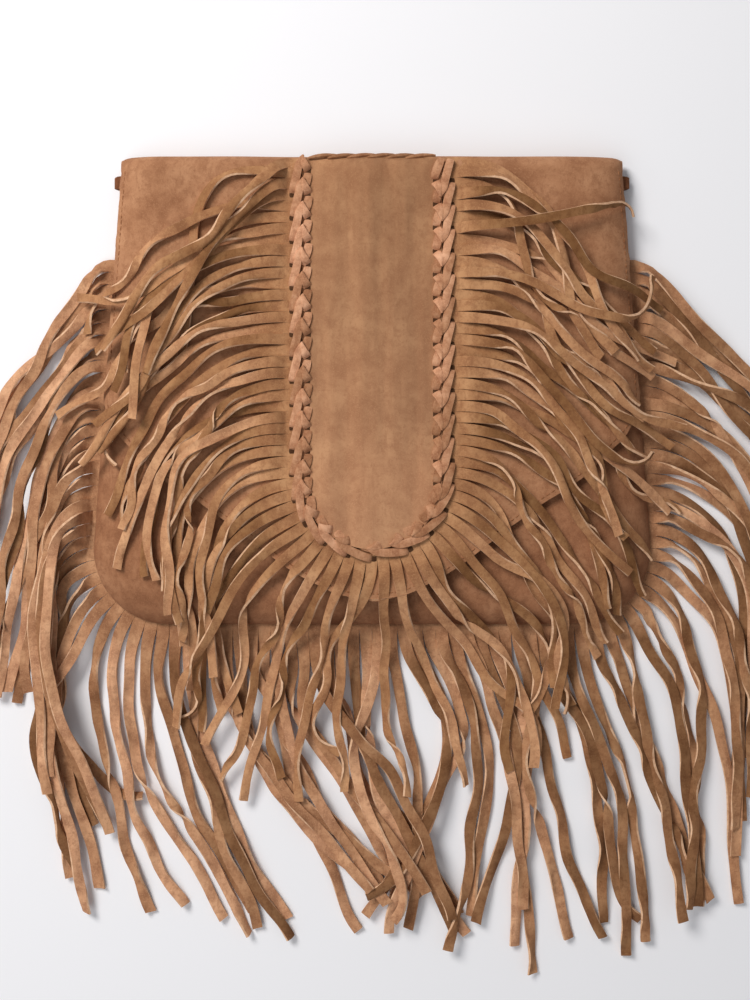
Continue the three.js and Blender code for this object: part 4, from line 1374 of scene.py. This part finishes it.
def lay_outer_fringe(pile):
    """Strips along the seam, laid down in a random order."""
    fringe = Fringe(seam_point, (-BAND_INSIDE, 0.0, BAND_OUTSIDE), lambda x, y: OUTER_BAND_Z)
    pulls = bundle_pulls(OUTER_BUNDLES, OUTER_PITCH)
    side = ripple(np.arange(OUTER_COUNT) * 1.0, (34, 13), 1.0)
    for index in rng.permutation(OUTER_COUNT):
        length = OUTER_LENGTH + 8 * rng.normal()
        offset, reach, swing = pulls[int(index)]
        if index >= OUTER_EVEN_FROM:
            offset, swing = 0.55 * offset, 0.6 * swing
        headings = lie_between(OUTER_LIE, index + 0.5) + rng.normal(0, 3) + 0.6 * swing
        turns = list(zip(OUTER_LIE_AT, headings))
        roll = OUTER_ROLL if side[index] > -0.3 else -OUTER_ROLL
        at_a_side = index < OUTER_LEFT or index >= OUTER_COUNT - OUTER_LEFT
        free = FREE_SOON if at_a_side else FREE_LATER
        wander = 8.5 if index < OUTER_CALM_FROM else 5.0
        fringe.lay(pile, int(index), turns, length, wander, (offset, reach), roll, 0.0, OUTER_BLUR, free)
    return fringe


FLAP_CALM_FROM = 72  # from this station on the flap's bundles swing less
FLAP_LENGTH, FLAP_PITCH, FLAP_BLUR, FLAP_ROLL, FLAP_WANDER = 134, 5.0, 6.0, 30, 14
# The strips that lie in their own way keep closer to their turns and join no bundle.
SINGLE_BLUR, SINGLE_WANDER, UNBUNDLED = 3.5, 0.5, (0, 60)


def lay_flap_fringe(pile):
    """Strips round the U, laid from its end outwards."""
    def base(x, y):
        return flap_top(x, y) + TRIM_GAP

    fringe = Fringe(u_point, (U_RADIUS + TRIM_GAP, U_RADIUS + 4, CUT_RADIUS), base)
    pulls = bundle_pulls(FLAP_BUNDLES, FLAP_PITCH)
    rank = np.abs(np.arange(FLAP_COUNT) - FLAP_MIDDLE) + rng.normal(0, 4, FLAP_COUNT)
    for index, single in FLAP_SINGLES.items():
        rank[index] += single["late"]
    side = ripple(np.arange(FLAP_COUNT) * 1.0, (31, 12), 1.0)
    for index in np.argsort(rank):
        length = FLAP_LENGTH + 7 * rng.normal()
        offset, reach, swing = pulls[int(index)]
        swing = swing * (0.3 if index >= FLAP_CALM_FROM else 0.85)
        headings = lie_between(FLAP_LIE, index + 0.5) + rng.normal(0, 4) + swing
        roll = FLAP_ROLL if side[index] > -0.4 else -FLAP_ROLL
        single = FLAP_SINGLES.get(int(index))
        if single:
            turns, rise = single["turns"], single["rise"]
            length = turns[-1][0]
            gather, wander, blur = UNBUNDLED, SINGLE_WANDER, SINGLE_BLUR
        else:
            turns, rise = list(zip(LIE_AT, headings)), 0.0
            gather, wander, blur = (offset, reach), FLAP_WANDER, FLAP_BLUR
        fringe.lay(pile, int(index), turns, length, wander, gather, roll, rise, blur, FREE_LATER)
    return fringe


STRIP_JOIN = 0.02  # strips whose roots are nearer than this are one piece


def make_fringes():
    """The five fringe pieces, each with the width, length and area of what it was cut from."""
    pile = start_pile()
    outer = lay_outer_fringe(pile)
    flap = lay_flap_fringe(pile)
    pieces = {}
    for name, fringe, start, end in (
        ("flap_fringe_left", flap, 0, FLAP_LEFT),
        ("flap_fringe_right", flap, FLAP_LEFT, FLAP_COUNT),
        ("outer_fringe_left", outer, 0, OUTER_LEFT),
        ("outer_fringe_bottom", outer, OUTER_LEFT, OUTER_COUNT - OUTER_LEFT),
        ("outer_fringe_right", outer, OUTER_COUNT - OUTER_LEFT, OUTER_COUNT),
    ):
        material, slot, darker = OUTER_FRINGE_SUEDE, "suede_dark", OUTER_RIGHT_SHADE
        if fringe is flap:
            material, slot, darker = FLAP_FRINGE_SUEDE, "suede_fringe", FLAP_RIGHT_SHADE
        piece = ribbon_lines("strips_" + name, fringe_lines(fringe, range(start, end), darker))
        as_ribbons(piece, 55, material, CUT_EDGE, STRIP_JOIN)
        settled(piece, pile)
        finished(piece, slot, name)
        pieces[name] = (piece, *fringe.cut_size(range(start, end)))
    return pieces


# ---------- lacing ----------

U_SIDE_LENGTH = TRIM_TOP_Y - U_CENTRE_Y
U_ARC_LENGTH = math.pi * U_RADIUS
U_LENGTH = 2 * U_SIDE_LENGTH + U_ARC_LENGTH


def u_frame(distance):
    """Point on the middle of the U, with the directions forwards and outwards, by distance along it."""
    if distance <= U_SIDE_LENGTH:
        return np.array([-U_RADIUS, TRIM_TOP_Y - distance]), np.array([0, -1.0]), np.array([-1.0, 0])
    if distance >= U_SIDE_LENGTH + U_ARC_LENGTH:
        y = U_CENTRE_Y + distance - U_SIDE_LENGTH - U_ARC_LENGTH
        return np.array([U_RADIUS, y]), np.array([0, 1.0]), np.array([1.0, 0])
    angle = math.pi + (distance - U_SIDE_LENGTH) / U_RADIUS
    out = np.array([math.cos(angle), math.sin(angle)])
    return np.array([0, U_CENTRE_Y]) + U_RADIUS * out, np.array([-out[1], out[0]]), out


# One stitch of the plait, as (along, inwards, height, width) from its inner hole.
LONG_ARM = [(-7.8, 0.75, 1.9, 0.8), (-5.5, 0.0, 2.0, 2.6), (-3, -0.9, 1.9, 3.7),
            (0.5, -1.6, 1.7, 4.1), (4, -2.4, 1.45, 4.2), (8, -3.5, 1.2, 4.1), (10.4, -4.2, 0.8, 3.7),
            (11.5, -4.4, -0.7, 3.2)]
SHORT_ARM = [(-7.8, 0.8, 2.2, 0.8), (-5.5, 1.3, 2.35, 2.3), (-3.2, 2.0, 2.15, 3.6),
             (-1.6, 2.8, 1.4, 4.2), (-0.5, 3.4, -0.7, 4.2)]
UNDER_ARM = [(1.5, 3.7, -0.7, 3.4), (2.6, 3.6, 0.6, 4.0), (5.5, 2.8, 0.7, 4.6), (9, 1.4, 0.6, 4.4),
             (12, 0.3, 0.5, 3.4)]
# Dark ribbons over the inner and outer holes, as (along, inwards, height, width): painted shade for the
# dark inside of each hole.
INNER_HOLE_SHADE = [(-1.2, 4.0, -0.42, 3.0), (0.4, 4.05, -0.4, 3.6), (2.2, 4.0, -0.42, 3.0)]
OUTER_HOLE_SHADE = [(10.8, -4.6, -0.42, 2.4), (12.2, -4.7, -0.38, 2.8), (13.4, -4.7, -0.42, 2.2)]
HOLE_SHADE_TONE = -7.2  # painted shade: the ribbons over the holes are painted as dark as the shadow inside a punched hole
HOLE_MARGIN = 3.0  # no hole is nearer than this to the top of the plait
LACE_THICK = 1.0
LACE_CUP = 0.25
LACE_WOBBLE, LACE_TONE = 0.25, 1.1  # how far the stitches stray, and differ in tone


def lace_ribbon(start, arm, tone, wobble):
    """Line of one arm of a stitch whose inner hole is at start along the U."""
    arm = np.array(arm, float)
    t = np.arange(len(arm))
    fine = np.linspace(0, len(arm) - 1, 3 * len(arm) - 2)
    arm = np.column_stack([curve_through(t, arm[:, k])(fine) for k in range(4)])
    arm[:, 1] += wobble
    points = []
    for along, inwards, height, _ in arm:
        middle, _, out = u_frame(start + along)
        spot = middle - inwards * out
        points.append([*spot, float(flap_top(*spot)) + TRIM_GAP + SUEDE + height - LACE_THICK / 2])
    points = np.array(points)
    direction = unit(np.gradient(points, axis=0))
    left = unit(np.cross([0, 0, 1], direction))
    normal = np.cross(direction, left)
    half = arm[:, 3:4] / 2
    return {"points": points, "across": left * half, "thick": normal * LACE_THICK, "cup": LACE_CUP,
            "tone": tone}


def hole_places():
    """Middles of the lace holes, inner and outer, along both runs of the plait."""
    count = int(U_LENGTH / 2 / LACE_PITCH)
    left = [8 + LACE_PITCH * i for i in range(count)]
    right = [U_LENGTH - 13.5 - LACE_PITCH * i for i in range(count)]
    return left, right[::-1]


def make_braids():
    """The two runs of the plait, stitch by stitch, and over each hole they go through a dark ribbon as
    painted shade for its inside.
    """
    left_starts, right_starts = hole_places()
    pieces = []
    for name, starts in (("left", left_starts), ("right", right_starts)):
        lines = []
        for start in starts:
            wobble = rng.normal(0, LACE_WOBBLE)
            tone = rng.normal(0, LACE_TONE)
            at = start + rng.normal(0, LACE_WOBBLE)
            # painted shade: a dark ribbon laid over each hole stands for the shadow inside it
            for hole in (INNER_HOLE_SHADE, OUTER_HOLE_SHADE):
                if start + hole[-1][0] < U_LENGTH - HOLE_MARGIN:
                    lines.append(lace_ribbon(start, hole, HOLE_SHADE_TONE, 0.0))
            # The arm that runs under the others is painted darker as painted shade, and the short arm,
            # which lies highest, a little lighter as painted light.
            lines.append(lace_ribbon(at, UNDER_ARM, tone - 0.8, wobble))
            lines.append(lace_ribbon(at + rng.normal(0, 0.4), LONG_ARM, tone, wobble))
            lines.append(lace_ribbon(at, SHORT_ARM, tone + 0.5, wobble))
        piece = ribbon_lines("plait_" + name, lines)
        as_ribbons(piece, 60, LACE_SUEDE, LACE_SUEDE)
        pieces.append(finished(piece, "lace", "braid_" + name))
    return pieces


TOP_LACE_TURNS, TOP_LACE_OVERLAP, TOP_LACE_GAP, TOP_LACE_THICK = 6, 2.5, 0.2, 0.9
TOP_LACE_TONE = -3.6  # darker than the plait


def make_top_lace():
    """The thong that is whipped along the crest of the fold."""
    half_length = -BRAID_LOW.x - 11.5
    pitch = 2 * half_length / TOP_LACE_TURNS
    crest = float(flap_top(0, FOLD_TURN_Y)) / 2
    lines = []
    for i in range(TOP_LACE_TURNS):
        start = -half_length + pitch * i - TOP_LACE_OVERLAP
        end = -half_length + pitch * (i + 1) + TOP_LACE_OVERLAP
        x = np.linspace(start, end, 9)
        t = np.linspace(0, 1, 9)
        angle = np.radians(52 - 16 * t + rng.normal(0, 2))
        bulge = np.sin(np.pi * t) ** 0.6
        y = FOLD_TURN_Y + (FOLD_DEPTH + TOP_LACE_GAP + bulge) * np.cos(angle)
        z = crest + (crest + TOP_LACE_GAP + bulge) * np.sin(angle)
        points = np.stack([x, y, z], -1)
        direction = unit(np.gradient(points, axis=0))
        out = np.stack([np.zeros(9), np.cos(angle), np.sin(angle)], -1)
        side = unit(np.cross(out, direction))
        half = (0.6 + 0.8 * np.sin(np.pi * t))[:, None]
        thick = TOP_LACE_THICK * np.cross(direction, side)
        lines.append({"points": points, "across": side * half, "thick": thick, "cup": 0.3,
                      "tone": rng.normal(TOP_LACE_TONE, 0.6)})
    piece = ribbon_lines("whipped_top_lace", lines)
    as_ribbons(piece, 60, LACE_SUEDE, LACE_SUEDE)
    return finished(piece, "lace", "top_edge_lace")


TAB_TURN_FROM, TAB_TURN_TO = 0.35, 0.65  # shares of a tab's length where it turns over
TAB_THICK, TAB_TONE = 1.2, -0.6


def make_tabs():
    """Small suede loops folded double at both sides near the top."""
    pieces = []
    for side, name in ((-1, "left"), (1, "right")):
        t = np.linspace(0, 1, 15)
        turn = np.clip((t - TAB_TURN_FROM) / (TAB_TURN_TO - TAB_TURN_FROM), 0, 1) * np.pi
        inside, outside = TAB_LOW.x, TAB_HIGH.x - 2.4
        out = inside + (outside - inside) * t / TAB_TURN_FROM
        back = outside - (outside - inside) * (t - TAB_TURN_TO) / (1 - TAB_TURN_TO)
        x = np.where(t < TAB_TURN_FROM, out, outside + 2.0 * np.sin(turn))
        x = np.where(t > TAB_TURN_TO, back, x)
        z = 4.0 - 1.7 * np.cos(turn)
        points = np.stack([side * x, np.full(15, (TAB_LOW.y + TAB_HIGH.y) / 2), z], -1)
        direction = unit(np.gradient(points, axis=0))
        narrowed = 1 - 0.35 * np.sin(np.pi * t) ** 6
        across = np.outer(narrowed, [0, side * (TAB_HIGH.y - TAB_LOW.y) / 2, 0])
        normal = np.cross(direction, unit(across))
        line = {"points": points, "across": across, "thick": TAB_THICK * normal, "tone": TAB_TONE}
        piece = ribbon_lines("suede_tab_" + name, [line])
        as_ribbons(piece, 55, TAB_SUEDE, TAB_SUEDE)
        pieces.append(finished(piece, "suede_tan", "tab_" + name))
    return pieces


# ---------- the pieces, and the sheets they were cut from ----------

back_and_flap = make_back_and_flap()
flap_stitches = make_flap_stitches()
front_panel = make_front_panel()
lining_back, lining_front, lining_flap = make_linings()
centre_panel = make_centre_panel()
fringes = make_fringes()
plaits = make_braids()
top_lace = make_top_lace()
tabs = make_tabs()


def cut_area(half_at, low, high):
    """Area in square metres of a flat piece whose half width is half_at(y)."""
    y = np.linspace(low, high, 600)
    return float(np.mean(2 * half_at(y))) * (high - low) * MM * MM


flap_area = cut_area(flap_half, FLAP_TIP_Y, FOLD_TURN_Y)
back_area = cut_area(body_half, BOTTOM_Y, FOLD_TURN_Y)
cut_area(body_half, BOTTOM_Y, MOUTH_Y)


def lining_half(y):
    return body_half(y) - BAND_INSIDE


def flap_lining_half(y):
    return flap_half(y) - FLAP_LINING_MARGIN


lining_low = BOTTOM_Y + BAND_INSIDE
lining_front_top = MOUTH_Y - FRONT_LINING_MARGIN
flap_lining_low = FLAP_TIP_Y + FLAP_LINING_MARGIN
cut_area(lining_half, lining_low, LINING_HIGH.y)
cut_area(lining_half, lining_low, lining_front_top)
cut_area(flap_lining_half, flap_lining_low, FLAP_LINING_TOP_Y)

for node in ("snap_socket", "snap_stud", "snap_washer_front", "snap_washer_flap"):
    metal = nodes[node]
    metal.data.materials.clear()
    metal.data.materials.append(BRASS)
